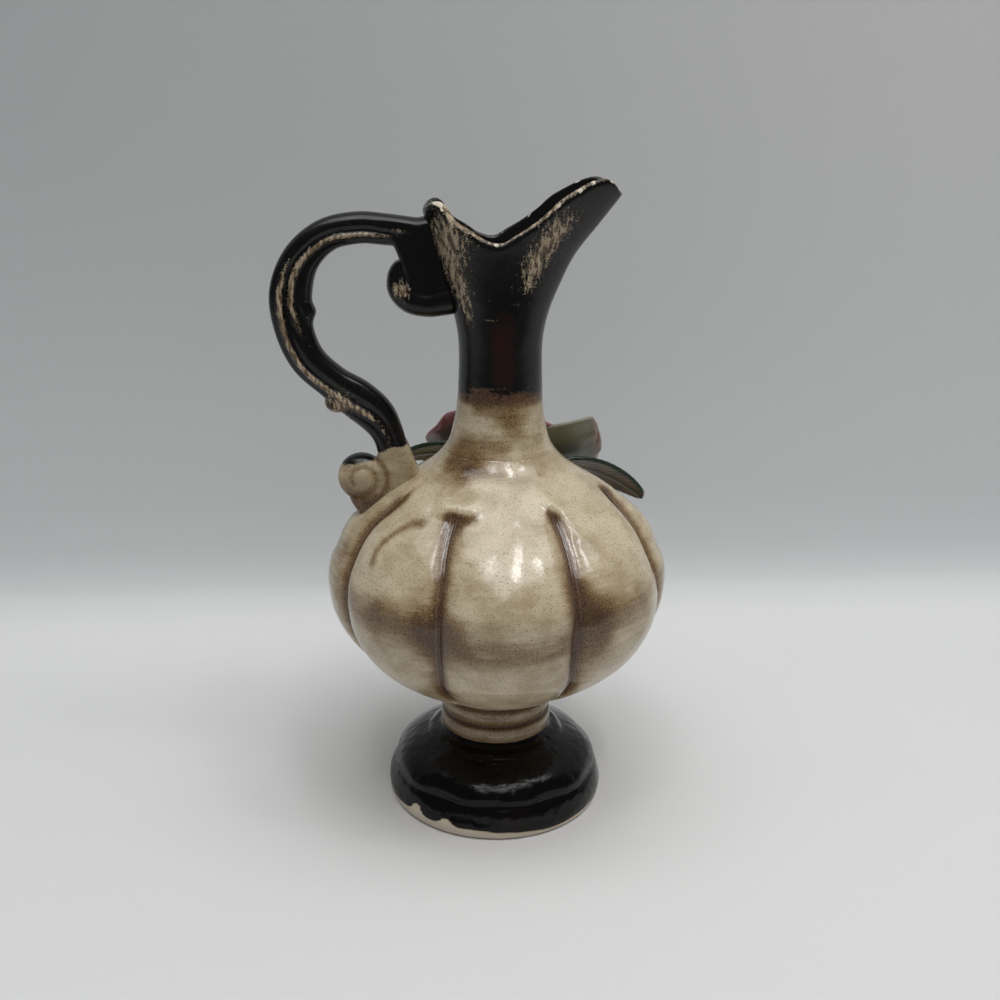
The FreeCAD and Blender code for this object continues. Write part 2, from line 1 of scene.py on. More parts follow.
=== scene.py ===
# %% [markdown]
# # A small glazed jug
#
# The real object is a slip-cast earthenware jug about 137 mm tall: a flared
# foot, a short stem, a belly of eight lobes, a neck with a beaked mouth, a
# scrolled handle and a hand-modelled rose behind the neck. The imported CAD
# model is loaded first as a fixed frame, and every piece below is made in
# that frame, so nothing has to be fitted afterwards.

# %% Load the frame
import math

import bmesh
import bpy
from mathutils import Matrix, Vector


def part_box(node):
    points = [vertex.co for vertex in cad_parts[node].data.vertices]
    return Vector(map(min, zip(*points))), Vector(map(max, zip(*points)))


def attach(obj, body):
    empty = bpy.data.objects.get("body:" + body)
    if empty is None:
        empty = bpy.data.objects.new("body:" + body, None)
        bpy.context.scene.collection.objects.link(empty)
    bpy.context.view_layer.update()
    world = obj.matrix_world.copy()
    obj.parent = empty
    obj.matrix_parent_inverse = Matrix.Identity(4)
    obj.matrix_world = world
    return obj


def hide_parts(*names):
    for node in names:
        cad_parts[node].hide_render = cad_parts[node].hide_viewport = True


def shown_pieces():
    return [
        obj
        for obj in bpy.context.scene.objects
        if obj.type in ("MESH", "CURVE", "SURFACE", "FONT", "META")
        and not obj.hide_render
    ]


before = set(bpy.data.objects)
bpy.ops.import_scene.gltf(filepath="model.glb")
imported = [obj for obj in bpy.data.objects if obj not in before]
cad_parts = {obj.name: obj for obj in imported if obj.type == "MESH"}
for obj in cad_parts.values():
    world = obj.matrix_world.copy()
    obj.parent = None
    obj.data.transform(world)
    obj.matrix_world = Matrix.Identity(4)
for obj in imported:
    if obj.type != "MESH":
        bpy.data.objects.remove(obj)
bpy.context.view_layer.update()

# %% [markdown]
# ## Sizes shared by the pieces
#
# Potters think in millimetres and Blender works in metres, so the tables
# below hold millimetres and one function turns them to metres. The seats are
# read from the CAD nodes: where the stem, the belly and the neck begin.

# %% Units and seats
MM = 0.001


def millimetres(node):
    """The box of a CAD node, in millimetres."""
    return [[value / MM for value in corner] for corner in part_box(node)]


STEM_SEAT = millimetres("stem")[0][2]
BELLY_SEAT = millimetres("belly")[0][2]
NECK_SEAT = millimetres("neck")[0][2]
JUG_TOP = millimetres("neck")[1][2]
print("seats of stem, belly and neck", [round(z, 2) for z in (STEM_SEAT, BELLY_SEAT, NECK_SEAT)])

# %% [markdown]
# ## Smooth curves through a few stops
#
# Each outline is a short table of stops. A curve that passes through all of
# them without kinks gives the soft shapes of clay, and `ease` turns a hard
# step into a gentle one.

# %% Curves
def clamp(value, low=0.0, high=1.0):
    return max(low, min(high, value))


def ease(low, high, value):
    """0 below low, 1 above high, and a soft slope between them."""
    share = clamp((value - low) / (high - low))
    return share * share * (3 - 2 * share)


def hump(distance, width):
    """1 at no distance, fading away over the width."""
    return math.exp(-((distance / width) ** 2))


def along(stops, place):
    """Straight steps between (place, value) stops."""
    if place <= stops[0][0]:
        return stops[0][1]
    for (a, low), (b, high) in zip(stops, stops[1:]):
        if place <= b:
            return low + (high - low) * (place - a) / (b - a)
    return stops[-1][1]


def curve_through(stops, place):
    """A smooth curve through evenly counted stops; place runs from 0 to 1."""
    last = len(stops) - 1
    at = clamp(place) * last
    i = min(int(at), last - 1)
    t = at - i
    a, b, c, d = (stops[clamp(k, 0, last)] for k in (i - 1, i, i + 1, i + 2))
    return tuple(
        0.5 * (2 * q + (r - p) * t
               + (2 * p - 5 * q + 4 * r - s) * t * t + (3 * q - p - 3 * r + s) * t ** 3)
        for p, q, r, s in zip(a, b, c, d))


def densely(stops, count):
    return [curve_through(stops, i / count) for i in range(count + 1)]


def smooth_table(stops, place):
    """A smooth value read from (place, value) stops that aren't evenly spaced."""
    places = [stop[0] for stop in stops]
    if place <= places[0]:
        return stops[0][1]
    if place >= places[-1]:
        return stops[-1][1]
    i = max(k for k, stop in enumerate(places[:-1]) if stop <= place)
    t = (place - places[i]) / (places[i + 1] - places[i])
    a, b, c, d = (stops[clamp(k, 0, len(stops) - 1)] for k in (i - 1, i, i + 1, i + 2))
    span = c[0] - b[0]
    slope_b = (c[1] - a[1]) / (c[0] - a[0]) * span
    slope_c = (d[1] - b[1]) / (d[0] - b[0]) * span
    return (
        (2 * t ** 3 - 3 * t * t + 1) * b[1] + (t ** 3 - 2 * t * t + t) * slope_b
        + (3 * t * t - 2 * t ** 3) * c[1] + (t ** 3 - t * t) * slope_c)


# %% [markdown]
# ## Turning a bmesh into a finished piece
#
# A round piece is a profile spun round the jug's axis. Every other walled
# piece starts as a flat sheet from `create_grid`: its two directions become
# "round the piece" and "along the piece", each point is sent to its place,
# and merging the doubles closes the seams. Extra numbers, such as how much
# brown wash lies on a point, travel with the vertices as attributes, so that
# the glaze can follow the form.

# %% Piece helpers
# on the belly, seam lays a painted highlight along the two ribs of each groove; on a leaf it marks
# the dark vein
FIELDS = ("wash", "black", "worn", "chip", "seam", "rust")
DOUBLES = 0.002 * MM


def finished(name, bm):
    """Merges doubles, turns faces outward, and makes a smooth object."""
    bmesh.ops.remove_doubles(bm, verts=bm.verts[:], dist=DOUBLES)
    bmesh.ops.recalc_face_normals(bm, faces=bm.faces[:])
    mesh = bpy.data.meshes.new(name)
    bm.to_mesh(mesh)
    bm.free()
    mesh.polygons.foreach_set("use_smooth", [True] * len(mesh.polygons))
    piece = bpy.data.objects.new(name, mesh)
    bpy.context.scene.collection.objects.link(piece)
    return piece


def glazed(node, bm):
    """The finished piece that takes the place of one CAD node."""
    piece = finished(node + "_glazed", bm)
    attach(piece, "root")
    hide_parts(node)
    print(piece.name, len(piece.data.polygons), "faces")
    return piece


def set_marks(vert, layers, marks):
    for mark, layer in zip(FIELDS, layers):
        vert[layer] = marks.get(mark, 0.0)


def mark_layers(bm):
    return [bm.verts.layers.float.new(mark) for mark in FIELDS]


def sheet(around, rows, place):
    """A grid whose point (u, v) goes where place(u, v) says, in millimetres."""
    bm = bmesh.new()
    bmesh.ops.create_grid(bm, x_segments=around, y_segments=rows, size=0.5)
    layers = mark_layers(bm)
    for vert in bm.verts:
        point, marks = place(clamp(vert.co.x + 0.5), clamp(vert.co.y + 0.5))
        vert.co = Vector(point) * MM
        set_marks(vert, layers, marks)
    return bm


def spun(profile, steps):
    """A (radius, height) profile in millimetres, spun once round the axis."""
    bm = bmesh.new()
    verts = [bm.verts.new((radius * MM, 0, height * MM)) for radius, height in profile]
    for a, b in zip(verts, verts[1:]):
        bm.edges.new((a, b))
    bmesh.ops.spin(
        bm, geom=bm.verts[:] + bm.edges[:], cent=(0, 0, 0), axis=(0, 0, 1), dvec=(0, 0, 0),
        angle=2 * math.pi, steps=steps, use_merge=True)
    return bm


def marked(bm, marks_at):
    """Gives every vertex its glaze numbers from where it is, in millimetres."""
    layers = mark_layers(bm)
    for vert in bm.verts:
        set_marks(vert, layers, marks_at(*(vert.co / MM)))
    return bm


# %% [markdown]
# ## Foot
#
# The foot is a low dome under a small collar, with one cast ridge near its
# rim and a hollow underneath, so that it stands on a ring. Potters turn such
# feet, and a spun profile is the same idea. The thick glaze ran in slow waves,
# so the dome is nudged inward by a few sines. The black ends a little above
# the floor, and three chips in front show the bare white clay.

# %% Foot
FOOT_STEPS = 200
FOOT_RADIUS = 24.5
FOOT_OUTSIDE = (
    # distance from the axis, height, in mm
    (20.6, 0.0), (22.6, 0.0), (23.7, 0.25), (24.2, 1.2), (24.4, 2.3), (24.45, 3.6), (24.3, 5.0),
    (23.85, 6.2), (23.25, 7.1), (23.15, 7.7), (23.3, 8.4), (22.9, 9.4), (21.9, 10.7), (20.5, 11.9),
    (18.8, 12.9), (17.0, 13.7), (15.7, 14.25), (15.0, 14.75), (14.2, 15.2), (13.2, 15.45),
    (12.5, 15.85), (12.0, 16.5),
)
FOOT_HOLLOW = ((0.0, 10.8), (9.0, 10.7), (16.0, 9.0), (19.6, 5.2), (20.4, 2.0), (20.6, 0.0))
HOLLOW_RADIUS, HOLLOW_TOP = 20.9, 10.9
RIDGE_HEIGHT = 8.3
GLAZE_END = 1.9
FOOT_CHIPS = (
    # heading in degrees, spread in degrees, height in mm
    (-121, 4.5, 1.7), (-108, 9, 0.5), (-140, 4, 2.1),
)


def foot_lumps(x, y, z):
    """The glaze's slow waves, only inward so that the foot keeps its size."""
    turn = math.atan2(y, x)
    wave = 0.5 + 0.25 * math.sin(3 * turn + 0.7) + 0.25 * math.sin(7 * turn + z * 0.5)
    ridge = 0.35 * hump(z - RIDGE_HEIGHT, 1.1) * (0.5 + 0.5 * math.sin(11 * turn + 1.0))
    return (0.55 * wave + ridge) * ease(2.5, 5.0, z) * (1 - ease(13.5, 15.5, z))


def foot_marks(x, y, z):
    """Bare clay inside and under a wavy edge with chips, black above it."""
    turn = math.atan2(y, x)
    edge = GLAZE_END + 0.4 * math.sin(2 * turn) + 0.2 * math.sin(7 * turn)
    edge += sum(
        height * hump(math.degrees(turn) - middle, spread) for middle, spread, height in FOOT_CHIPS)
    if math.hypot(x, y) < HOLLOW_RADIUS and z < HOLLOW_TOP:
        return {"chip": 1.0}
    return {"black": ease(edge - 0.25, edge + 0.25, z), "chip": 1 - ease(edge - 0.5, edge + 0.1, z)}


def make_foot():
    profile = densely(FOOT_HOLLOW, 24)[:-1] + densely(FOOT_OUTSIDE, 84) + [(0.0, STEM_SEAT)]
    profile = [(clamp(out, 0.0, FOOT_RADIUS), clamp(up, 0.0, STEM_SEAT)) for out, up in profile]
    bm = spun(profile, FOOT_STEPS)
    for vert in bm.verts:
        x, y, z = vert.co / MM
        radius = math.hypot(x, y)
        if radius > HOLLOW_RADIUS or z > HOLLOW_TOP:
            shrink = 1 - foot_lumps(x, y, z) / max(radius, 1.0)
            vert.co.x *= shrink
            vert.co.y *= shrink
    return glazed("foot", marked(bm, foot_marks))


foot = make_foot()

# %% [markdown]
# ## Stem
#
# A short spool of clay joins the foot to the belly. It carries two soft beads
# with a line between them, where the brown wash stayed when it was wiped. Its
# top, just under the belly, is darkened with brown too, which is painted shade.
# It is another spun profile.

# %% Stem
STEM_STEPS = 160
STEM_OUTSIDE = (
    # distance from the axis, height over the stem's seat, in mm
    (12.0, 0.0), (12.35, 0.8), (12.45, 2.2), (12.3, 3.4), (11.65, 4.1), (11.95, 4.7),
    (12.25, 5.8), (12.2, 6.8), (12.35, 7.6), (12.9, 8.5), (13.3, 9.0),
)
STEM_LINE = 4.1


def stem_marks(x, y, z):
    height = z - STEM_SEAT
    # the base wash and the bead line are stain; the rise at the top, under the belly, is painted
    # shade
    wash = 0.45 + 0.5 * hump(height - STEM_LINE, 0.55) + 0.45 * ease(6.5, 9.0, height)
    return {"wash": wash, "black": 0.9 * (1 - ease(0.2, 0.9, height))}


stem_outside = [(out, STEM_SEAT + up) for out, up in densely(STEM_OUTSIDE, 48)]
spool = spun([(0.0, STEM_SEAT)] + stem_outside + [(0.0, BELLY_SEAT)], STEM_STEPS)
stem = glazed("stem", marked(spool, stem_marks))

# %% [markdown]
# ## Belly
#
# The belly is a pumpkin of eight lobes. The mould pressed narrow grooves
# between them, and these don't run straight up but lean a little. So each
# groove is a small table of headings at given heights, the sheet's columns
# are crowded towards the grooves, and every point between two grooves bows
# out to the crest's radius. The wall is double: up the outside, a little past
# the neck's seat so that no gap shows, and down the hollow inside.

# %% Belly outline and grooves
LOBES = 8
LOBE_COLUMNS, BELLY_ROWS = 40, 170
FULLER = 2.1
CREST = (
    # height over the belly's seat, distance from the axis, in mm
    (0.0, 13.3), (1.5, 15.6), (3.5, 19.4), (6.0, 23.6), (8.5, 27.0), (11.5, 30.3), (14.5, 32.9),
    (18.0, 35.0), (21.5, 36.4), (25.0, 36.95), (28.5, 37.0), (32.0, 36.2), (36.5, 33.3),
    (40.0, 30.2), (43.0, 26.9), (46.0, 23.2), (48.5, 20.2), (51.0, 17.1), (53.0, 14.55),
    (54.6, 12.92), (55.4, 12.27), (56.0, 11.81), (56.3, 11.6), (56.6, 11.38),
)
BELLY_TOP = CREST[-1][0]
GROOVE_DEPTH = (
    (0.0, 0.2), (4.0, 1.0), (9.0, 2.3), (15.0, 3.0), (26.0, 3.1), (36.0, 3.0), (42.0, 2.6),
    (45.5, 1.9), (47.5, 0.7), (49.0, 0.0),
)
GROOVES = (
    # height over the seat in mm, heading in degrees: the first four are seen in front
    ((15, -157), (30, -159.6), (34, -161.7), (38, -163.1), (42, -163.9), (45, -161.5), (50, -158)),
    ((10, -117.7), (15, -116), (21, -114.7), (30, -114.4), (37, -115.6), (40, -116.9), (44, -118.6),
     (50, -119.5)),
    ((8, -62), (14, -65.5), (20, -68.3), (25, -68.9), (33, -67.5), (37, -66.9), (40, -65.6),
     (44, -64.3), (50, -63.5)),
    ((12, -23), (27, -19.9), (31, -21), (35, -19.4), (38, -17.8), (41, -14.5), (45, -10), (50, -8)),
    ((10, 22), (28, 21), (40, 18), (50, 14)),
    ((10, 67), (28, 68), (40, 66), (50, 63)),
    ((10, 113), (28, 112), (40, 115), (50, 117)),
    ((10, 157), (28, 158), (40, 161), (50, 163)),
)


def groove_heading(index, height):
    """The heading in degrees of one groove at a height over the belly's seat."""
    turns, which = divmod(index, LOBES)
    return smooth_table(GROOVES[which], height) + 360.0 * turns


def crowded(share):
    """Moves columns from a lobe's middle towards its two grooves."""
    side = 2 * share - 1
    return 0.5 + 0.5 * (1.42 * side - 0.42 * side ** 3)


def on_belly(column_share, height):
    """Radius, heading in radians and distance to the groove, at one column."""
    at = column_share * LOBES
    lobe = min(int(at), LOBES - 1)
    left, right = groove_heading(lobe, height), groove_heading(lobe + 1, height)
    share = crowded(at - lobe)
    heading = math.radians(left + (right - left) * share)
    side = 2 * share - 1
    crest = smooth_table(CREST, height)
    half_width = crest * math.radians(right - left) * 0.5
    distance = (1 - abs(side)) * half_width
    depth = smooth_table(GROOVE_DEPTH, height)
    rounded = clamp(1 - (math.hypot(distance, 1.3) - 0.6) / half_width)
    press = 0.44 * side * side + 0.42 * rounded ** 7 + 0.14 * hump(distance, 1.1)
    rib = 0.17 * hump(distance - 0.6, 0.24) * ease(0.4, 1.5, depth)
    # the lobes under the handle and the spout are fuller at the shoulder
    fuller = FULLER * ease(33, 41, height) * (1 - ease(46, 53, height))
    fuller *= math.cos(heading) ** 4 * (1 - side * side * 0.6)
    return crest - depth * press + rib + fuller, heading, distance


print("belly crest at its widest", max(radius for height, radius in CREST), "mm")

# %% [markdown]
# The brown wash on the belly follows the form: it lies deep in the grooves,
# in a smoky band below the widest place, round the joint with the neck, and
# in a few curved strokes left by the brush. A stroke is a short list of
# (heading, height) places, and its strength fades with distance over the
# surface.

# %% Belly wash
LIPS = (
    # soft folds of clay over the groove tops: width, height, path
    (1.5, 0.75, ((-131, 75.2), (-124, 73.8), (-117, 73.6), (-109, 74.3))),
    (1.6, 0.6, ((-63.5, 74.6), (-58.5, 72.9), (-57.5, 70.2))),
    (1.5, 0.5, ((-166, 74), (-160, 74))),
    (1.0, 0.35, ((-137, 73.2), (-143, 71.2), (-148.2, 68.6), (-149.8, 65.9))),
)
SHOULDER_STROKES = (
    # width in mm, strength, then (heading in degrees, height in mm)
    (3.4, 0.5, ((-141, 80.2), (-128, 79.6))),
    (2.2, 0.25, ((-118, 81), (-100, 81))),
)
STROKES = (
    (0.9, 0.5, ((-122.5, 72.3), (-120.3, 71.9), (-115.8, 72), (-110.5, 72.3), (-107, 72.6))),
    (1.5, 0.45, ((-119.5, 70.9), (-117, 71), (-115, 71.4))),
    (0.8, 0.46, ((-133, 70.6), (-138.6, 70.3), (-142.9, 68.7), (-145.6, 66.6), (-146.2, 64.7),
                 (-145.2, 62.7))),
    (0.9, 0.5, ((-66.9, 73.0), (-65.3, 72.0), (-64.5, 70.5))),
    (1.6, 0.5, ((-162, 72.5), (-158, 73.4))),
    (1.2, 0.4, ((-10, 71.5), (-6, 72.5))),
    (1.0, 0.16, ((-124.3, 79.4), (-94.6, 79.1), (-77.5, 78.2), (-53.4, 79.2))),
    (3.6, 0.30, ((-134, 55.0), (-121, 52.5))),
    (2.8, 0.30, ((-121, 55), (-117, 50))),
    (3.0, 0.30, ((-109, 53.5), (-107, 49.5))),
    (2.6, 0.22, ((-105, 51.0), (-90, 50.6), (-75, 51.2))),
    (1.2, 0.14, ((-104, 48.6), (-88, 48.2), (-74, 49.2))),
    (3.6, 0.38, ((-66, 59), (-61, 55), (-62, 49))),
    (3.6, 0.30, ((-61, 56), (-52, 55.0), (-43, 56))),
    (3.2, 0.26, ((-152, 54.5), (-138, 53.5))),
    (2.6, 0.3, ((20, 55), (60, 52), (100, 53), (140, 55), (175, 53))),
    (3.0, 0.3, ((170, 61), (190, 60))),
) + SHOULDER_STROKES


def surface_distance(heading, height, radius, path):
    """The shortest way over the surface, in mm, to a path of places."""
    best = 1e9
    for (turn_a, up_a), (turn_b, up_b) in zip(path, path[1:]):
        ax, bx = math.radians(turn_a - heading) * radius, math.radians(turn_b - heading) * radius
        ay, by = up_a - height, up_b - height
        run = (bx - ax) ** 2 + (by - ay) ** 2
        share = clamp(-(ax * (bx - ax) + ay * (by - ay)) / max(run, 1e-9))
        best = min(best, math.hypot(ax + (bx - ax) * share, ay + (by - ay) * share))
    return best


def laid_on(degrees, z, radius, strokes):
    """How much all the strokes, or all the folds, together lay on one place."""
    return sum(
        strength * hump(surface_distance(degrees, z, radius, path), width)
        for width, strength, path in strokes)


BAND_HEIGHT = 52.5


def belly_marks(heading, height, radius, distance):
    z = BELLY_SEAT + height
    groove = ease(3.5, 11.0, height) * (1 - ease(46.0, 48.5, height))
    wash = 0.10 + 0.52 * hump(distance, 1.35) * groove + 0.26 * hump(distance, 3.6) * groove
    wash += 0.26 * (1 - ease(1.5, 7.0, height))
    wash += 0.12 * hump(z - BAND_HEIGHT, 6.5)
    wash += 0.06 * ease(52.0, 56.0, height)
    wash += laid_on(math.degrees(heading), z, radius, STROKES)
    # seam: a lighter line along each rib beside the groove, a painted highlight on the ribs
    return {"wash": clamp(wash), "seam": hump(distance - 0.62, 0.25) * groove}


# %% Belly
BELLY_WALL, BELLY_FLOOR = 3.0, 3.2
# shares of the sheet's rows: the underside ends, the outside ends, the top edge ends
UNDER_END, OUTSIDE_END, EDGE_END = 0.02, 0.72, 0.75


def belly_place(u, v):
    """v crosses the underside, climbs the outside and goes down the hollow."""
    shrink, wall = 1.0, 0.0
    if v <= UNDER_END:
        height, shrink = 0.0, v / UNDER_END
    elif v <= OUTSIDE_END:
        height = BELLY_TOP * (v - UNDER_END) / (OUTSIDE_END - UNDER_END)
    elif v <= EDGE_END:
        height, wall = BELLY_TOP, BELLY_WALL * (v - OUTSIDE_END) / (EDGE_END - OUTSIDE_END)
    else:
        down = (v - EDGE_END) / (1 - EDGE_END)
        height = BELLY_TOP - (BELLY_TOP - BELLY_FLOOR) * min(down / 0.9, 1.0)
        shrink, wall = 1.0 - max(0.0, (down - 0.9) / 0.1), BELLY_WALL
    radius, heading, distance = on_belly(u, height)
    if v > EDGE_END:
        radius = smooth_table(CREST, height) - wall - smooth_table(GROOVE_DEPTH, height) * 0.6
    else:
        radius -= wall
        if 40 < height < 52:
            radius += laid_on(math.degrees(heading), BELLY_SEAT + height, radius, LIPS)
    out = radius * shrink
    point = (out * math.cos(heading), out * math.sin(heading), BELLY_SEAT + height)
    if v > OUTSIDE_END:
        return point, {"wash": 0.4}
    return point, belly_marks(heading, height, radius, distance)


belly = glazed("belly", sheet(LOBES * LOBE_COLUMNS, BELLY_ROWS, belly_place))

# %% [markdown]
# ## Neck and mouth
#
# The neck starts round and opens into a beaked mouth: long towards the
# spout, short at the back, dipping at both sides. Each height has its reach
# to the back, to the front and to the sides, and a pinch that narrows the
# spout. The rim's height depends on how far forward a point stands, so every
# column of the sheet climbs to its own rim, rolls over it and goes down
# inside.

# %% Neck outline
NECK_RADIUS, SEAT_RADIUS = 8.7, 11.4
LIP_REACH, SPOUT_REACH, MOUTH_HALF = 16.9, 24.2, 15.6
MOUTH_PINCH = 0.62
NECK_HEIGHT = JUG_TOP - NECK_SEAT
WALL = 2.0
NECK_SHAPE = (
    # share of the height, base flare, back, front, width, pinch
    (0.0, 1.155, 0.0, 0.0, 0.0, 0.0),
    (0.025, 0.828, 0.0, 0.0, 0.0, 0.0),
    (0.063, 0.56, 0.0, 0.0, 0.0, 0.0),
    (0.153, 0.185, 0.0, 0.0, 0.0, 0.0),
    (0.30, 0.0, 0.0, 0.0, 0.0, 0.0),
    (0.42, 0.0, 0.02, 0.0, 0.0, 0.0),
    (0.52, 0.0, 0.15, 0.07, 0.04, 0.13),
    (0.62, 0.0, 0.40, 0.21, 0.17, 0.40),
    (0.727, 0.0, 0.61, 0.40, 0.42, 0.68),
    (0.835, 0.0, 0.82, 0.70, 0.74, 0.89),
    (0.943, 0.0, 1.0, 1.0, 1.0, 1.0),
    (1.05, 0.0, 1.13, 1.245, 1.2, 1.06),
)
RIM = (
    # forward from the axis, height, in mm
    (-17.5, 129.6), (-16.9, 130.4), (-16.1, 131.7), (-15.0, 132.5), (-13.7, 132.4), (-12.4, 130.9),
    (-11.2, 129.3), (-7.4, 127.2), (-4.6, 125.6), (-0.9, 124.9), (2.1, 126.4), (5.3, 128.2),
    (8.9, 130.7), (11.6, 133.1), (14.7, 134.9), (17.5, 136.3), (20.1, 137.1), (21.6, 137.0),
    (23.2, 136.0), (24.3, 134.8),
)


def neck_value(column, share):
    return smooth_table([(row[0], row[column]) for row in NECK_SHAPE], share)


def mouth_point(turn, height, inset):
    """A place on the neck's level loop at a height, drawn in by the inset."""
    share = (height - NECK_SEAT) / NECK_HEIGHT
    around = NECK_RADIUS - inset + neck_value(1, share) * (SEAT_RADIUS - NECK_RADIUS)
    back = around + neck_value(2, share) * (LIP_REACH - NECK_RADIUS)
    front = around + neck_value(3, share) * (SPOUT_REACH - NECK_RADIUS)
    half = around + neck_value(4, share) * (MOUTH_HALF - NECK_RADIUS)
    pinch = neck_value(5, share) * MOUTH_PINCH
    along_x = ((front - back) + (front + back) * math.cos(turn)) * 0.5
    across = half * math.sin(turn) * (1 - pinch * (1 + math.cos(turn)) * 0.5)
    return along_x, across


RIM_GUESS, RIM_TRIES = 130.0, 12


def rim_height(turn):
    """Where a column meets the rim: its height and forward place agree."""
    height = RIM_GUESS
    for _ in range(RIM_TRIES):
        height += 0.6 * (smooth_table(RIM, mouth_point(turn, height, 0.0)[0]) - height)
    return height


NECK_COLUMNS = 144
RIM_HEIGHTS = [rim_height(2 * math.pi * i / NECK_COLUMNS) for i in range(NECK_COLUMNS + 1)]
print("rim from", round(min(RIM_HEIGHTS), 1), "to", round(max(RIM_HEIGHTS), 1), "mm")

# %% [markdown]
# The neck wears two glazes. Black covers it down to a ragged line, and was
# rubbed away in slanting patches near the rim, two on each side, where a dull
# tan shows. Below the line the brown wash was brushed round in level strokes.
# Along the rim the glaze is worn to a tan thread with a few white chips.

# %% Neck
GLAZE_LINE = 95.1
WASHED_RADIUS = 10.0
RIM_CHIPS = (
    # forward from the axis in mm, then -1 on the near side and 1 on the far side
    (-13.9, -1), (-12.7, -1), (-2.0, -1), (10.5, -1), (14.6, -1), (17.2, -1), (21.2, -1),
    (-11.0, 1), (6.0, 1), (16.0, 1),
)
SPONGED = (
    # heading in degrees, height in mm, spread along both, strength
    (-146, 126, 24, 5.5, 0.62),
    (-142, 118, 17, 6.0, 0.58),
    (-136, 111, 10, 5.0, 0.42),
    (-60, 126.5, 14, 6.0, 0.62),
    (-68, 119.5, 12, 5.5, 0.55),
    (145, 122, 24, 7.0, 0.5),
    (48, 122, 20, 6.0, 0.45),
)
NECK_STROKES = (
    # width in mm, strength, then (heading in degrees, height in mm)
    (2.3, 0.9, ((-180, 94.9), (-90, 95.1), (0, 94.9), (90, 95.1), (180, 94.9))),
    (1.0, 0.25, ((-160, 93.0), (-120, 93.3), (-60, 92.8), (-20, 93.2))),
    (2.2, 0.34, ((-122, 91.6), (-84, 90.6))),
    (2.4, 0.34, ((-138, 84.8), (-92, 84.4))),
    (2.2, 0.20, ((-70, 86.0), (-40, 85.0))),
    (2.0, 0.22, ((-80, 88.5), (-60, 90))),
    (2.4, 0.3, ((60, 93), (110, 92), (150, 94))),
    (2.6, 0.3, ((80, 86), (120, 85))),
) + SHOULDER_STROKES


def neck_marks(turn, x, y, z, below_rim):
    degrees = (math.degrees(turn) + 180) % 360 - 180
    ragged = 0.5 * math.sin(3 * turn + 1.0) + 0.3 * math.sin(8 * turn)
    black = ease(GLAZE_LINE + ragged - 3.4, GLAZE_LINE + ragged + 2.6, z)
    sponged = 0.0
    for heading, height, spread, rise, strength in SPONGED:
        gap = (degrees - heading + 180) % 360 - 180
        sponged += strength * hump(gap, spread) * hump(z - height, rise)
    near = hump(below_rim - 0.1, 0.4) * (0.52 if y < 0 else 0.25)
    chips = sum(hump(x - place, 0.5) for place, side in RIM_CHIPS if side * y > 0)
    wash = 0.12 + laid_on(degrees, z, WASHED_RADIUS, NECK_STROKES)
    rust = hump(degrees + 92, 20) * ease(94, 98, z) * (1 - ease(106, 116, z))
    return {
        "black": black, "worn": clamp(sponged + near), "wash": clamp(wash), "rust": rust,
        "chip": clamp(chips * hump(below_rim - 0.2, 0.6))}


# The neck starts a little inside the belly, so that no gap shows
NECK_START = NECK_SEAT - 0.6
NECK_ROWS = 150
# shares of the sheet's rows: the outside ends, the rim's roll ends, the inside ends
NECK_OUTSIDE_END, ROLL_END, INSIDE_END = 0.5, 0.6, 0.97


def neck_place(u, v):
    """v climbs the outside, rolls over the rim, and goes down inside."""
    turn = 2 * math.pi * u
    at = u * NECK_COLUMNS
    low = min(int(at), NECK_COLUMNS - 1)
    rim = RIM_HEIGHTS[low] + (RIM_HEIGHTS[low + 1] - RIM_HEIGHTS[low]) * (at - low)
    top = rim - WALL * 0.5
    if v <= NECK_OUTSIDE_END:
        z = NECK_START + (top - NECK_START) * (v / NECK_OUTSIDE_END)
        x, y = mouth_point(turn, z, 0.0)
    elif v <= ROLL_END:
        share = (v - NECK_OUTSIDE_END) / (ROLL_END - NECK_OUTSIDE_END)
        inset = WALL * 0.5 * (1 - math.cos(math.pi * share))
        z = top + WALL * 0.5 * math.sin(math.pi * share)
        x, y = mouth_point(turn, top, inset)
    elif v <= INSIDE_END:
        share = (v - ROLL_END) / (INSIDE_END - ROLL_END)
        z = top + (NECK_START - top) * share
        x, y = mouth_point(turn, z, WALL)
    else:
        share = (v - INSIDE_END) / (1 - INSIDE_END)
        z = NECK_START
        x, y = mouth_point(turn, z, WALL * (1 - share))
    if v > ROLL_END:
        return (x, y, z), {"black": ease(98, 104, z), "wash": 0.7}
    return (x, y, z), neck_marks(turn, x, y, z, rim - z)


neck = glazed("neck", sheet(NECK_COLUMNS, NECK_ROWS, neck_place))

# %% [markdown]
# ## Handle
#
# The handle was cast with the body: a bow that leaves the back of the lip,
# swings out and comes down to a scroll on the shoulder, with a curl against
# the neck and a spur on its back. Each part is a sheet rolled round a spine,
# its width and its ridges changing on the way. A voxel remesh then melts the
# parts into one clay body with soft joints, as slip casting does.

# %% Handle spines
BOW_DEPTH, SPUR_DEPTH, CURL_DEPTH, WEB_DEPTH, PAD_DEPTH = 3.35, 2.6, 3.5, 3.0, 2.9
PLATE_EDGE = 1.4
BOW = (
    # out from the axis, height, half width, all in mm
    (-13.8, 126.7, 3.0), (-15.3, 126.4, 3.0), (-17.5, 126.1, 3.05), (-23.0, 126.7, 3.1),
    (-29.0, 127.05, 3.15), (-35.3, 125.5, 3.3), (-40.3, 120.9, 3.75), (-42.65, 114.2, 4.3),
    (-42.35, 107.2, 3.95), (-39.8, 100.7, 3.7), (-34.9, 95.9, 3.6), (-29.9, 92.2, 4.2),
    (-25.9, 88.6, 4.0), (-23.5, 84.3, 3.3), (-22.4, 79.0, 3.3), (-22.0, 73.5, 3.9),
    (-21.9, 68.0, 4.6),
)
SPUR = ((-29.8, 95.0, 3.4), (-32.4, 93.2, 3.1), (-34.5, 91.2, 2.35), (-35.4, 89.9, 1.6))
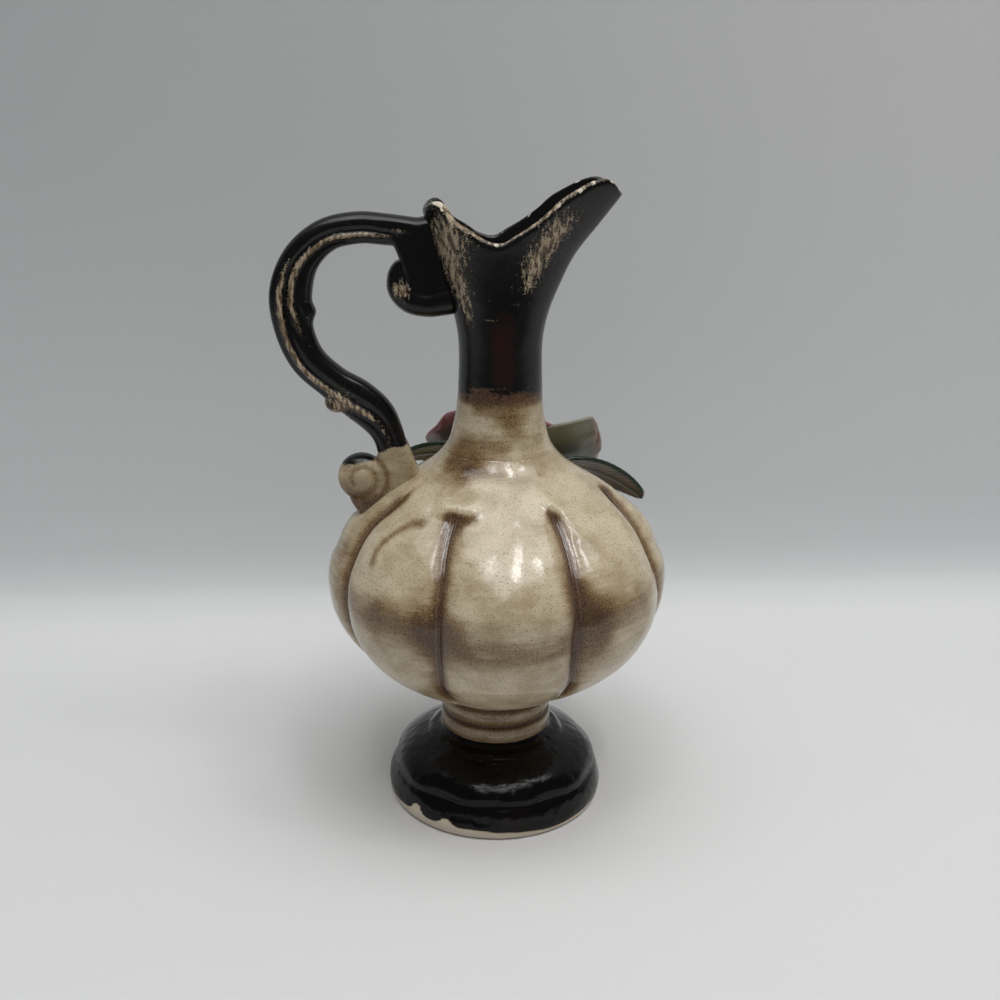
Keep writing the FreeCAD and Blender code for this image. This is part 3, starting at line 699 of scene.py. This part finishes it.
CURL = (
    (-9.4, 113.3, 3.3), (-11.9, 112.9, 3.3), (-15.0, 112.3, 3.0), (-18.3, 112.9, 2.95),
    (-20.5, 114.9, 2.75), (-21.0, 117.3, 2.3), (-20.4, 119.2, 1.9), (-19.9, 120.3, 1.3),
)
RIDGES = (
    # along the bow from 0 to 1, place across from -1 inside to 1 outside, strength
    (
        (0.16, -0.25, 0.0), (0.20, -0.38, 0.7), (0.27, -0.35, 1.0), (0.34, -0.15, 1.0),
        (0.41, 0.02, 1.0), (0.46, -0.08, 0.9), (0.50, -0.35, 0.6), (0.54, -0.6, 0.0),
    ),
    (
        (0.37, 0.55, 0.0), (0.42, 0.48, 0.8), (0.52, 0.44, 1.0), (0.60, 0.42, 1.0),
        (0.66, 0.36, 1.0), (0.71, 0.25, 0.9), (0.77, 0.08, 0.5), (0.84, 0.0, 0.2), (0.92, 0.0, 0.0),
    ),
    ((0.13, 0.12, 0.0), (0.17, 0.05, 0.6), (0.22, 0.08, 0.0)),
)


def ridge_at(ridge, share):
    across = along([(a, b) for a, b, c in ridge], share)
    strength = along([(a, c) for a, b, c in ridge], share)
    return across, strength


def bow_depth(share, across):
    """How proud the bow's side face stands, from 1 down, at one place across."""
    depth = 1.0 - 0.12 * hump(across + 0.12, 0.5)
    for ridge in RIDGES:
        middle, strength = ridge_at(ridge, share)
        off = across - middle
        depth += strength * (0.12 * hump(off, 0.11) - 0.16 * hump(off - 0.27, 0.14))
        depth -= strength * 0.20 * hump(off + 0.27, 0.15)
    return depth


def bow_swell(share, across):
    """The knuckle on the bow's inner side."""
    return 1.0 + 0.24 * hump(share - 0.475, 0.018) * ease(0.2, 0.9, -across)


def even(share, across):
    return 1.0


def sideways(spine, share, step):
    """The unit direction across a spine, in the jug's middle plane."""
    ahead, behind = curve_through(spine, share + step), curve_through(spine, share - step)
    run = math.hypot(ahead[0] - behind[0], ahead[1] - behind[1])
    return (ahead[1] - behind[1]) / run, -(ahead[0] - behind[0]) / run


def rolled(spine, half_depth, depth_at, swell_at=even, rows=None, blunt=0.04):
    """A sheet rolled round a spine that lies in the jug's middle plane."""

    def place(u, v):
        x, z, half = curve_through(spine, v)
        side = sideways(spine, v, 0.002)
        turn = 2 * math.pi * u
        end = math.sqrt(clamp(1 - (1 - clamp(min(v, 1 - v) / blunt)) ** 2))
        across = math.copysign(abs(math.cos(turn)) ** 0.86, math.cos(turn))
        deep = math.copysign(abs(math.sin(turn)) ** 0.80, math.sin(turn))
        deep *= depth_at(v, across) * half_depth * end
        reach = -across * half * end * swell_at(v, across)
        return (x - side[0] * reach, deep, z - side[1] * reach), {}

    return sheet(48, rows or 14 * len(spine), place)


def slab(outline, half_depth):
    """A flat plate in the middle plane with rounded edges."""
    bm = bmesh.new()
    face = bm.faces.new([bm.verts.new((x * MM, -half_depth * MM, z * MM)) for x, z in outline])
    raised = bmesh.ops.extrude_face_region(bm, geom=[face])
    new_verts = [item for item in raised["geom"] if isinstance(item, bmesh.types.BMVert)]
    bmesh.ops.translate(bm, verts=new_verts, vec=(0, 2 * half_depth * MM, 0))
    bmesh.ops.bevel(
        bm, geom=bm.edges[:], offset=PLATE_EDGE * MM, offset_type="OFFSET", affect="EDGES",
        segments=3, profile=0.5, material=-1, clamp_overlap=True)
    return bm


VOLUTE_MIDDLE = (-29.3, 75.4)
VOLUTE_RADIUS, VOLUTE_DEPTH, VOLUTE_GROOVE = 5.05, 3.7, 0.42


def volute_coil(out, up):
    """How far out the spiral groove runs, as a share of the radius."""
    turn = math.atan2(up, out)
    return 0.80 - 0.46 * ((turn + math.pi * 0.75) % (2 * math.pi)) / (2 * math.pi)


def make_volute():
    """A plump button with a spiral groove pressed into both faces."""
    bm = bmesh.new()
    bmesh.ops.create_uvsphere(bm, u_segments=96, v_segments=64, radius=1.0)
    upright = Matrix.Rotation(math.radians(90), 3, "X")
    bmesh.ops.rotate(bm, verts=bm.verts[:], cent=(0, 0, 0), matrix=upright)
    for vert in bm.verts:
        x, y, z = vert.co
        groove = hump(math.hypot(x, z) - volute_coil(x, z), 0.11) * ease(0.1, 0.5, abs(y))
        vert.co = Vector((
            VOLUTE_MIDDLE[0] + x * VOLUTE_RADIUS,
            math.copysign(abs(y) ** 0.75 * VOLUTE_DEPTH - VOLUTE_GROOVE * groove, y),
            VOLUTE_MIDDLE[1] + z * VOLUTE_RADIUS)) * MM
    return bm


WEB = (
    (-22.8, 125.8), (-21.6, 123.0), (-20.9, 121.4), (-19.6, 117.5), (-18.4, 113.0), (-9.2, 112.0),
    (-13.8, 127.5),
)
PAD = (
    (-32.4, 71.5), (-29.8, 67.0), (-19.0, 66.5), (-15.9, 73.2), (-19.9, 84.0), (-25.0, 83.2),
    (-26.0, 79.5), (-29.0, 73.0),
)

# %% Handle
VOXEL, SOFTENING = 0.28 * MM, 2


def joined(name, parts):
    """Several bmeshes as one object, not yet a piece of the frame."""
    whole = bmesh.new()
    for part in parts:
        mesh = bpy.data.meshes.new(name)
        bmesh.ops.recalc_face_normals(part, faces=part.faces[:])
        part.to_mesh(mesh)
        part.free()
        whole.from_mesh(mesh)
        bpy.data.meshes.remove(mesh)
    mesh = bpy.data.meshes.new(name)
    whole.to_mesh(mesh)
    whole.free()
    rough = bpy.data.objects.new(name, mesh)
    bpy.context.scene.collection.objects.link(rough)
    return rough


def melted(rough):
    """The object's parts run together into one body, as a new bmesh."""
    remesh = rough.modifiers.new("melt", "REMESH")
    remesh.mode = "VOXEL"
    remesh.voxel_size = VOXEL
    soften = rough.modifiers.new("soften", "SMOOTH")
    soften.iterations = SOFTENING
    soften.factor = 0.5
    shown = rough.evaluated_get(bpy.context.evaluated_depsgraph_get())
    bm = bmesh.new()
    bm.from_mesh(shown.to_mesh())
    bpy.data.objects.remove(rough)
    return bm


BOW_DENSE = [(i / 160, place) for i, place in enumerate(densely(BOW, 160))]
WORN_SPOTS = (
    # out from the axis, height, reach in mm, strength: the spur and the curl
    (-33.5, 91.5, 3.2, 0.75), (-20.6, 115.0, 2.2, 0.7),
)


def handle_marks(x, y, z):
    """Worn ridges, the bare scroll and the glaze's lower edge."""
    share, (mx, mz, half) = min(
        BOW_DENSE, key=lambda item: (item[1][0] - x) ** 2 + (item[1][1] - z) ** 2)
    side = sideways(BOW, share, 0.004)
    across = ((x - mx) * side[0] + (z - mz) * side[1]) / half
    worn = max(
        strength * hump(math.hypot(x - spot_x, z - spot_z), reach)
        for spot_x, spot_z, reach, strength in WORN_SPOTS)
    if abs(y) > 1.2:
        for ridge in RIDGES:
            middle, strength = ridge_at(ridge, share)
            worn = max(worn, strength * hump(across - middle, 0.15))
    # the black ends in a slanting line on the bow, and lower on the volute
    edge = 82.3 + 0.25 * (x + 22.0) + 0.25 * math.sin(x * 1.3)
    if x < -26.2:
        edge = 78.9 + 0.15 * (x + 29.0)
    out, up = x - VOLUTE_MIDDLE[0], z - VOLUTE_MIDDLE[1]
    away = math.hypot(out, up)
    wash = 0.26 + 0.45 * (1 - ease(68.0, 73.0, z + 0.25 * (x + 25)))
    if away < VOLUTE_RADIUS + 0.25:
        wash += 0.18 * hump(away / VOLUTE_RADIUS - volute_coil(out, up), 0.10)
    if out > 0:
        wash += 0.3 * hump(away - VOLUTE_RADIUS - 0.35, 0.7)
    return {"black": ease(edge - 1.2, edge + 1.2, z), "worn": clamp(worn), "wash": clamp(wash)}


def curl_depth(share, across):
    return 1.0 - 0.25 * hump(share - 0.85, 0.2)


handle_parts = [
    rolled(BOW, BOW_DEPTH, bow_depth, bow_swell, rows=260, blunt=0.01),
    rolled(SPUR, SPUR_DEPTH, even, blunt=0.3),
    rolled(CURL, CURL_DEPTH, curl_depth, blunt=0.08),
    slab(WEB, WEB_DEPTH), slab(PAD, PAD_DEPTH), make_volute(),
]
handle_clay = melted(joined("handle_rough", handle_parts))
handle = glazed("handle", marked(handle_clay, handle_marks))

# %% [markdown]
# ## Rose and leaves
#
# The rose was modelled by hand: a bud rolled from a strip of clay, three
# petals wrapped round it, three more round those, six open petals and three
# leaves. A petal is a thin sheet with a narrow foot and a round or blunt tip,
# cupped like part of a ball and turned back a little at its edge. The Solidify
# modifier gives the clay its thickness.

# %% Flower frame
FLOWER_SEAT = (6.0, 26.085, 69.012)
FLOWER_TILT = 45.0
BUD_CENTRE, BUD_RADIUS = 8.8, 5.0
PETAL_ROOT, PETAL_THICKNESS = 3.2, 1.1
LAYER_STEP, WRAP = 1.25, math.radians(62)


def flower_frame(*turns):
    """The rose's own frame, then turned about its own axes in degrees."""
    place = Matrix.Translation(FLOWER_SEAT) @ Matrix.Rotation(math.radians(-FLOWER_TILT), 4, "X")
    for axis, degrees in turns:
        place = place @ Matrix.Rotation(math.radians(degrees), 4, axis)
    return place


def thickened(piece, thickness):
    wall = piece.modifiers.new("clay thickness", "SOLIDIFY")
    wall.thickness = thickness * MM
    wall.offset = 0.0
    soft = piece.modifiers.new("soft edges", "SUBSURF")
    soft.levels = soft.render_levels = 1
    return piece


def petal_half_width(v, width, blunt, early):
    """Narrow at the foot, widest beyond the middle and round at the tip."""
    swell = 0.26 + 0.74 * ease(0.0, early, v)
    tip = math.sqrt(clamp(1 - clamp((v - 0.60) / 0.40) ** blunt))
    return width * 0.5 * swell * (0.10 + 0.90 * tip)


def open_petal(node, heading, reach, width, bowl, curl, blunt, early):
    """A cupped petal that lies open, from PETAL_ROOT out to its reach."""
    place_in = flower_frame(("Z", heading))

    def place(u, v):
        side = 2 * u - 1
        out = PETAL_ROOT + (reach - PETAL_ROOT) * v * (1 - 0.08 * side * side * v)
        half = petal_half_width(v, width, blunt, early)
        across = side * half
        rise = bowl - math.sqrt(bowl * bowl - out * out - across * across) + 1.0
        frill = 0.35 * math.sin(5.0 * side + heading) * v * v
        turned_back = curl * ease(0.78, 1.0, max(v, abs(side))) * v
        edge = ease(0.72, 1.0, max(v, abs(side) * v))
        point = Vector((out, across, rise + frill - turned_back))
        return place_in @ point, {"worn": edge, "wash": v}

    return thickened(glazed(node, sheet(26, 26, place)), PETAL_THICKNESS)


def wrapped_petal(node, heading, layer):
    """An upright petal that hugs the bud, its top edge turned outward."""
    place_in = flower_frame(("Z", heading))
    radius = BUD_RADIUS + LAYER_STEP * layer - 0.5

    def place(u, v):
        side = 2 * u - 1
        turn = side * WRAP * (0.55 + 0.45 * math.sin(math.pi * clamp(0.2 + 0.6 * v)))
        up = (v - 0.45) * (1.55 + 0.1 * layer) * radius * (1 - 0.16 * side * side)
        lean = ease(0.7, 1.0, v) * 0.9 - 0.25 * ease(0.0, 0.3, 1 - v) * (1 - v)
        ball = math.sqrt(max(radius * radius - (0.75 * up) ** 2, 0.3 * radius * radius))
        reach = ball + lean
        point = Vector((reach * math.cos(turn), reach * math.sin(turn), BUD_CENTRE + up))
        return place_in @ point, {"worn": ease(0.7, 1.0, v), "wash": v}

    return thickened(glazed(node, sheet(24, 20, place)), PETAL_THICKNESS * 0.9)


# %% Rose
OPEN_PETALS = (
    # heading, reach, width, bowl radius, edge curl, bluntness of the tip, share of the length
    # by which it is at its widest; petals 1 and 3 show beside the neck and are the blunt ones
    (-4, 21.6, 27.0, 56.0, 0.5, 9.0, 0.28),
    (-75, 15.8, 16.5, 32.6, 0.7, 2.6, 0.72),
    (-143, 20.6, 23.5, 34.0, 0.6, 7.0, 0.42),
    (155, 17.8, 17.0, 32.6, 0.9, 2.6, 0.72),
    (90, 17.8, 17.6, 34.0, 0.8, 2.6, 0.72),
    (35, 16.8, 17.0, 32.6, 0.9, 2.6, 0.72),
)
for number, petal in enumerate(OPEN_PETALS, 1):
    open_petal("rose_outer_petal_%d" % number, *petal)
for number in (1, 2, 3):
    wrapped_petal("rose_inner_petal_%d" % number, 120 * number - 90, 1)
    wrapped_petal("rose_middle_petal_%d" % number, 120 * number - 30, 2)


BUD_ROOT, BUD_LENGTH = -2.2, 16.4
BUD_RADII = ((0.0, 4.0), (0.35, 4.15), (0.6, 4.9), (0.8, 4.3), (0.93, 2.5), (1.0, 0.0))


def make_rose_heart():
    """The bud: a strip of clay rolled up, with its spiral edge at the top."""
    place_in = flower_frame()

    def place(u, v):
        turn = 2 * math.pi * u
        coil = 0.35 * math.sin(2 * turn + 9.0 * v) * ease(0.6, 0.8, v) * (1 - ease(0.93, 1.0, v))
        out = (smooth_table(BUD_RADII, v) + coil) * ease(0.0, 0.02, v)
        point = Vector((out * math.cos(turn), out * math.sin(turn), BUD_ROOT + BUD_LENGTH * v))
        return place_in @ point, {"worn": ease(0.75, 0.9, v), "wash": 0.7}

    return glazed("rose_heart", sheet(48, 60, place))


make_rose_heart()
print("rose of", 1 + 6 + len(OPEN_PETALS), "pieces")

# %% Leaves
LEAF_LENGTH, LEAF_WIDTH, LEAF_THICKNESS, LEAF_CURVE = 27.0, 9.4, 1.2, 30.0
LEAVES = (
    # node, share of the length to the root, root heading, blade heading, size, droop
    ("leaf_1", 0.355, -33.7, 25.0, 1.0, 7.0),
    ("leaf_2", 0.385, -125.0, 168.0, 0.80, -9.0),
    ("leaf_3", 0.41, 116.5, 117.6, 0.72, 8.0),
)


def make_leaf(node, root_share, root_heading, heading, size, droop):
    half = LEAF_LENGTH * size * 0.5
    crown = LEAF_CURVE - math.sqrt(LEAF_CURVE ** 2 - half * half)
    place_in = flower_frame(("Z", root_heading))
    place_in = place_in @ Matrix.Translation((LEAF_LENGTH * root_share, 0, -LEAF_THICKNESS * 1.4))
    place_in = place_in @ Matrix.Rotation(math.radians(heading - root_heading), 4, "Z")
    place_in = place_in @ Matrix.Rotation(math.radians(droop), 4, "Y")
    place_in = place_in @ Matrix.Translation((half, 0, crown))

    def place(u, v):
        side = 2 * u - 1
        x = (2 * v - 1) * half * 0.985
        taper = math.sqrt(clamp(1 - (2 * v - 1) ** 2)) * (1 - 0.18 * (2 * v - 1))
        y = side * (LEAF_WIDTH * 0.5 - 0.3) * taper
        z = -LEAF_CURVE - 0.6 + math.sqrt(LEAF_CURVE ** 2 - x * x - y * y)
        vein = 0.22 * hump(y, 0.45)
        vein += 0.10 * math.sin(3.2 * (x - abs(y) * 1.1)) * ease(0.5, 1.5, abs(y))
        # only the upper edge of the first leaf is dark in front
        edge = ease(0.6, 1.0, -side if node == "leaf_1" else abs(side))
        return place_in @ Vector((x, y, z - vein)), {"black": edge, "seam": hump(y, 0.6)}

    return thickened(glazed(node, sheet(20, 46, place)), LEAF_THICKNESS * 0.85)


for leaf in LEAVES:
    make_leaf(*leaf)
print("leaves", len(LEAVES))

# %% [markdown]
# ## Glazes
#
# All the clay is one body: glazed earthenware, a warm white clay under a
# clear lead-free glaze, which is smooth and reflects at about IOR 1.5. The
# maker sponged brown stain over it, poured black glaze on the ends, and wiped
# the high places. The recipe below makes all of these: the attributes say where
# each colour lies, and noise at real sizes frays its edges.

# %% Material helpers
def linear(hex_colour):
    """An sRGB hex colour as linear RGBA."""
    channels = [int(hex_colour[i:i + 2], 16) / 255 for i in (1, 3, 5)]
    return [c / 12.92 if c <= 0.04045 else ((c + 0.055) / 1.055) ** 2.4 for c in channels] + [1.0]


def add(material, kind, inputs=None, **settings):
    """Adds one node. Settings are its properties, or sockets that take a value;
    an input is filled with a link, a number or a hex colour."""
    node = material.node_tree.nodes.new("ShaderNode" + kind)
    filled = dict(inputs or {})
    for key, value in settings.items():
        if hasattr(node, key):
            setattr(node, key, value)
        else:
            filled[key.replace("_", " ")] = value
    for key, value in filled.items():
        if isinstance(value, bpy.types.NodeSocket):
            material.node_tree.links.new(value, node.inputs[key])
        else:
            node.inputs[key].default_value = linear(value) if isinstance(value, str) else value
    return node


def speckle(material, where, size_mm, detail=3.0, stretch=None):
    """Noise whose grains are about size_mm across."""
    if stretch:
        where = add(material, "Mapping", {"Vector": where}, Scale=stretch).outputs[0]
    noise = add(material, "TexNoise", {"Vector": where}, Scale=1.0 / (size_mm * MM), Detail=detail)
    return noise.outputs["Fac"]


def sums(material, first, second, times, plus=0.0):
    """first + second * times + plus."""
    scaled = add(material, "Math", {0: second, 1: times, 2: plus}, operation="MULTIPLY_ADD")
    return add(material, "Math", {0: first, 1: scaled.outputs[0]}, operation="ADD").outputs[0]


def frayed(material, value, *grains):
    """A value, or the mark of that name, with each (noise, times) added both ways."""
    if isinstance(value, str):
        value = add(material, "Attribute", attribute_name=value).outputs["Fac"]
    for noise, times in grains:
        value = sums(material, value, noise, times, -0.5 * times)
    return value


def patch(material, value, low, high, *grains):
    """The frayed value made a share: 0 below low, 1 above high, smooth between."""
    value = frayed(material, value, *grains)
    share = add(
        material, "MapRange", {"Value": value, "From Min": low, "From Max": high},
        interpolation_type="SMOOTHSTEP")
    return share.outputs[0]


def layered(material, colour, *layers):
    """A colour with others laid over it, each given as (share, colour)."""
    for share, over in layers:
        mix = add(material, "Mix", {"Factor": share, 6: colour, 7: over}, data_type="RGBA")
        colour = mix.outputs[2]
    return colour


def new_material(name):
    """An empty material, and the place on the object for its patterns."""
    material = bpy.data.materials.new(name)
    material.use_nodes = True
    material.node_tree.nodes.clear()
    return material, add(material, "TexCoord").outputs["Object"]


def shaded(material, colour, roughness, bump, **settings):
    inputs = {"Base Color": colour, "Roughness": roughness, "Normal": bump.outputs[0]}
    shader = add(material, "BsdfPrincipled", inputs, **settings)
    add(material, "OutputMaterial", {"Surface": shader.outputs[0]})
    return material


# %% Jug glaze
CREAM_GLOSS = 0.12
GLAZE_IOR = 1.5
# Grain in mm: pores of the sponge, clay specks, scrubbing, clouds, brush streaks, lumps.
# Real specks are finer, and are drawn this coarse so that they show.
SPONGE, SPECK, SCRUB, CLOUD, STREAK, LUMP = 0.32, 0.3, 1.0, 7.0, 2.2, 2.4
SCRUB_STRETCH, STREAK_STRETCH = (1.5, 1.5, 0.45), (0.35, 0.35, 2.2)


def jug_glaze(name, lumps, black_gloss, specular):
    """Cream glaze under brown wash, with black glaze, worn places and chips."""
    material, where = new_material(name)
    sponge = speckle(material, where, SPONGE, 2.0)
    speck = speckle(material, where, SPECK, 1.0)
    scrub = speckle(material, where, SCRUB, 4.0, stretch=SCRUB_STRETCH)
    cloud = speckle(material, where, CLOUD)
    streak = speckle(material, where, STREAK, 4.0, stretch=STREAK_STRETCH)
    wash = frayed(material, "wash", (cloud, 0.36), (streak, 0.36))
    grainy = frayed(material, wash, (sponge, 1.3))
    body = layered(
        material, "#cfc1a5",
        (patch(material, cloud, 0.35, 0.7), "#b8a98a"),
        (patch(material, speck, 0.46, 0.86), "#8f7f68"),
        (patch(material, wash, 0.05, 0.60), "#8e7553"),
        (patch(material, grainy, 0.34, 1.0), "#523a27"),
        (patch(material, grainy, 0.80, 1.3), "#33252a"),
        (patch(material, sums(material, speck, wash, 0.30, -0.06), 0.68, 0.80), "#5d4936"),
        # the seam colour is a painted highlight: a lighter line on each rib beside a belly groove
        (patch(material, "seam", 0.5, 1.1), "#80695a"))
    ink = layered(
        material, "#080706",
        (patch(material, cloud, 0.45, 0.8), "#120c09"),
        (patch(material, "rust", 0.3, 1.0, (streak, 0.9)), "#26100a"))
    tan = layered(material, "#6b5842", (patch(material, scrub, 0.42, 0.6), "#b5a48a"))
    black = patch(material, "black", 0.40, 0.74, (sponge, 0.6), (streak, 1.1))
    worn = patch(material, "worn", 0.34, 0.74, (sponge, 1.3), (scrub, 0.9))
    chip = patch(material, "chip", 0.45, 0.6, (sponge, 0.6))
    colour = layered(material, body, (black, ink), (worn, tan), (chip, "#d8ccba"))
    gloss = add(material, "MapRange", {"Value": black}, To_Min=CREAM_GLOSS, To_Max=black_gloss)
    rough = sums(material, sums(material, gloss.outputs[0], chip, 0.5), worn, 0.25)
    height = sums(material, cloud, sponge, 0.10)
    height = sums(material, height, speckle(material, where, LUMP, 1.0), 0.5)
    bump = add(material, "Bump", {"Height": height}, Strength=lumps, Distance=0.35 * MM)
    return shaded(material, colour, rough, bump, IOR=GLAZE_IOR, Specular_IOR_Level=specular)


cream_glaze = jug_glaze("cream_glazed_earthenware", 0.35, 0.2, 0.5)
satin_glaze = jug_glaze("satin_black_glazed_earthenware", 0.35, 0.26, 0.36)
black_glaze = jug_glaze("gloss_black_glazed_earthenware", 1.0, 0.11, 0.24)
for piece in (stem, belly):
    piece.data.materials.append(cream_glaze)
for piece in (neck, handle):
    piece.data.materials.append(satin_glaze)
foot.data.materials.append(black_glaze)

# %% Petal and leaf glazes
FINE_GRAIN = 0.8


def thin_glaze(name, cloud_mm, roughness, colour_of):
    """Thin coloured glaze over fine grain; colour_of(material, cloud) mixes its colour."""
    material, where = new_material(name)
    cloud = speckle(material, where, cloud_mm)
    height = sums(material, cloud, speckle(material, where, FINE_GRAIN), 0.2)
    bump = add(material, "Bump", {"Height": height}, Strength=0.4, Distance=0.3 * MM)
    return shaded(material, colour_of(material, cloud), roughness, bump, IOR=GLAZE_IOR)


def petal_glaze(name, inner, outer, edge):
    """The colour pools at a petal's edge."""
    def colour_of(material, cloud):
        return layered(
            material, inner,
            (patch(material, "wash", 0.2, 0.8, (cloud, 0.6)), outer),
            (patch(material, "worn", 0.35, 0.8, (cloud, 0.7)), edge))

    return thin_glaze(name, 4.0, 0.28, colour_of)


def leaf_glaze(name, light, dark):
    """Mottled, with a dark vein and a dark green edge."""
    def colour_of(material, cloud):
        return layered(
            material, light,
            (patch(material, cloud, 0.4, 0.65), dark),
            (patch(material, "seam", 0.3, 0.9), "#4a4a30"),
            (patch(material, "black", 0.4, 0.8, (cloud, 0.8)), "#1b2a1c"))

    return thin_glaze(name, 3.0, 0.3, colour_of)


# pale petal: its green-grey is partly the petal's own pale green and partly painted shade, with
# green reflected from the leaf beside it
pale_petal_painted_shade = petal_glaze("pale_petal_painted_shade_glaze", "#6c6a54", "#7b7c68", "#9c8478")
# a darker copy of the pink glaze, for open petals 2 and 3: its brown-grey body is painted shade,
# its pink edge is the petal's own colour
shaded_pink_petal = petal_glaze("shaded_pink_petal_glaze", "#5f5046", "#74605a", "#9c6068")
FLOWER_GLAZES = (
    # how a piece's name starts; the first that fits is used
    ("rose_outer_petal_1", pale_petal_painted_shade),
    ("rose_outer_petal_2", shaded_pink_petal),
    ("rose_outer_petal_3", shaded_pink_petal),
    ("rose_", petal_glaze("pink_petal_glaze", "#80605a", "#965d63", "#a85f6c")),
    ("leaf_1", leaf_glaze("brown_leaf_glaze", "#62503c", "#4f4234")),
    ("leaf_", leaf_glaze("olive_leaf_glaze", "#6a6746", "#75654a")),
)
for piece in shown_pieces():
    glazes = [glaze for start, glaze in FLOWER_GLAZES if piece.name.startswith(start)]
    if glazes:
        piece.data.materials.append(glazes[0])
print("materials", [material.name for material in bpy.data.materials])

# %% [markdown]
# ## Floor and backdrop
#
# The jug stands on a pale sheet that turns up softly behind it. A grid bent
# along its length does the same job as the paper sweep of a photo studio. Its
# wall is painted a little darker than its floor, most of all high up on the
# left: this is painted shade, where less light reaches the wall.

# %% Sweep
SWEEP_WIDTH, SWEEP_TOP = 2400, 1300
SWEEP_PROFILE = (
    # towards the back, height, in mm
    (-230, 0), (-150, 0), (-80, 0), (0, 0), (50, 0), (74, 0), (85, 1.6), (93, 5.5), (98.5, 12),
    (101.5, 24), (102.5, 50), (103, 140), (103, 500), (103, SWEEP_TOP),
)


def make_sweep():
    bm = bmesh.new()
    bmesh.ops.create_grid(bm, x_segments=8, y_segments=96, size=0.5)
    for vert in bm.verts:
        back, up = curve_through(SWEEP_PROFILE, vert.co.y + 0.5)
        vert.co = Vector((vert.co.x * SWEEP_WIDTH, back, clamp(up, 0.0, SWEEP_TOP))) * MM
    bmesh.ops.recalc_face_normals(bm, faces=bm.faces[:])
    return finished("paper_sweep", bm)


sweep = make_sweep()
paper, where = new_material("pale_paper")
split = add(paper, "SeparateXYZ", {"Vector": where}).outputs
turned_up = patch(paper, split["Z"], 0.0, 16 * MM)
climb = patch(paper, split["Z"], 10 * MM, 190 * MM)
across = patch(paper, split["X"], -260 * MM, 260 * MM)
# painted shade: the wall's colour darkens upward, and most of all to the left
shaded_high_wall = layered(paper, "#b6baba", (across, "#d2d2d1"))
wall = layered(paper, "#d2d5d5", (climb, shaded_high_wall))
fibre = add(paper, "Bump", {"Height": speckle(paper, where, 1.5)}, Strength=0.1, Distance=0.1 * MM)
shaded(paper, layered(paper, "#dadada", (turned_up, wall)), 0.85, fibre, IOR=1.4)
sweep.data.materials.append(paper)

# %% [markdown]
# ## Light and camera
#
# One broad soft lamp overhead gives the even light and the soft shadow round
# the foot. A thin tube and two small panes, high in front of the jug, draw the
# bright streaks on the glaze. The camera stands where the photograph was
# taken: a little to the left, above the jug, looking down at about 18 degrees.

# %% Lights
def lamp(name, place, aim, size, watts):
    """A white area lamp; places and sizes in mm."""
    data = bpy.data.lights.new(name, "AREA")
    data.shape = "RECTANGLE"
    data.size, data.size_y = size[0] * MM, size[1] * MM
    data.energy = watts
    light = bpy.data.objects.new(name, data)
    light.location = Vector(place) * MM
    light.rotation_mode = "QUATERNION"
    light.rotation_quaternion = (Vector(aim) - Vector(place)).to_track_quat("-Z", "Y")
    bpy.context.scene.collection.objects.link(light)


lamp("overhead_softbox", (60, -60, 900), (0, 20, 60), (1000, 1000), 8.8)
lamp("ceiling_tube", (159, -310, 880), (235, 0, 70), (9, 280), 0.75)
lamp("left_window", (-138, -330, 870), (0, 0, 70), (110, 150), 0.4)
lamp("right_window", (418, -280, 860), (0, 0, 70), (70, 150), 0.5)
world = bpy.data.worlds.new("room")
world.use_nodes = True
room = world.node_tree.nodes["Background"]
room.inputs["Color"].default_value = linear("#b9bbbf")
room.inputs["Strength"].default_value = 0.22
bpy.context.scene.world = world
bpy.context.scene.view_settings.view_transform = "Standard"
print("lamps", [light.name for light in bpy.data.lights])

# %% Camera
CAMERA_PLACE = (-22.7, -235.9, 147.2)
CAMERA_HEADING, CAMERA_PITCH, CAMERA_ROLL = 5.5, 18.15, 0.82
LENS, SENSOR, SHIFT = 41.4, 36.0, 0.0014


def place_camera():
    heading, pitch, roll = (math.radians(a) for a in (CAMERA_HEADING, CAMERA_PITCH, CAMERA_ROLL))
    level = Vector((math.sin(heading), math.cos(heading), 0))
    ahead = level * math.cos(pitch) - Vector((0, 0, math.sin(pitch)))
    up = level * math.sin(pitch) + Vector((0, 0, math.cos(pitch)))
    right = ahead.cross(up)
    rolled_right = right * math.cos(roll) + up * math.sin(roll)
    rolled_up = up * math.cos(roll) - right * math.sin(roll)
    data = bpy.data.cameras.new("camera")
    data.lens, data.sensor_width, data.shift_x = LENS, SENSOR, SHIFT
    data.clip_start, data.clip_end = 0.01, 20.0
    camera = bpy.data.objects.new("camera", data)
    bpy.context.scene.collection.objects.link(camera)
    axes = Matrix((rolled_right, rolled_up, -ahead)).transposed()
    camera.matrix_world = Matrix.Translation(Vector(CAMERA_PLACE) * MM) @ axes.to_4x4()
    return camera


bpy.context.scene.camera = place_camera()
print("camera", [round(v, 3) for v in bpy.context.scene.camera.location])
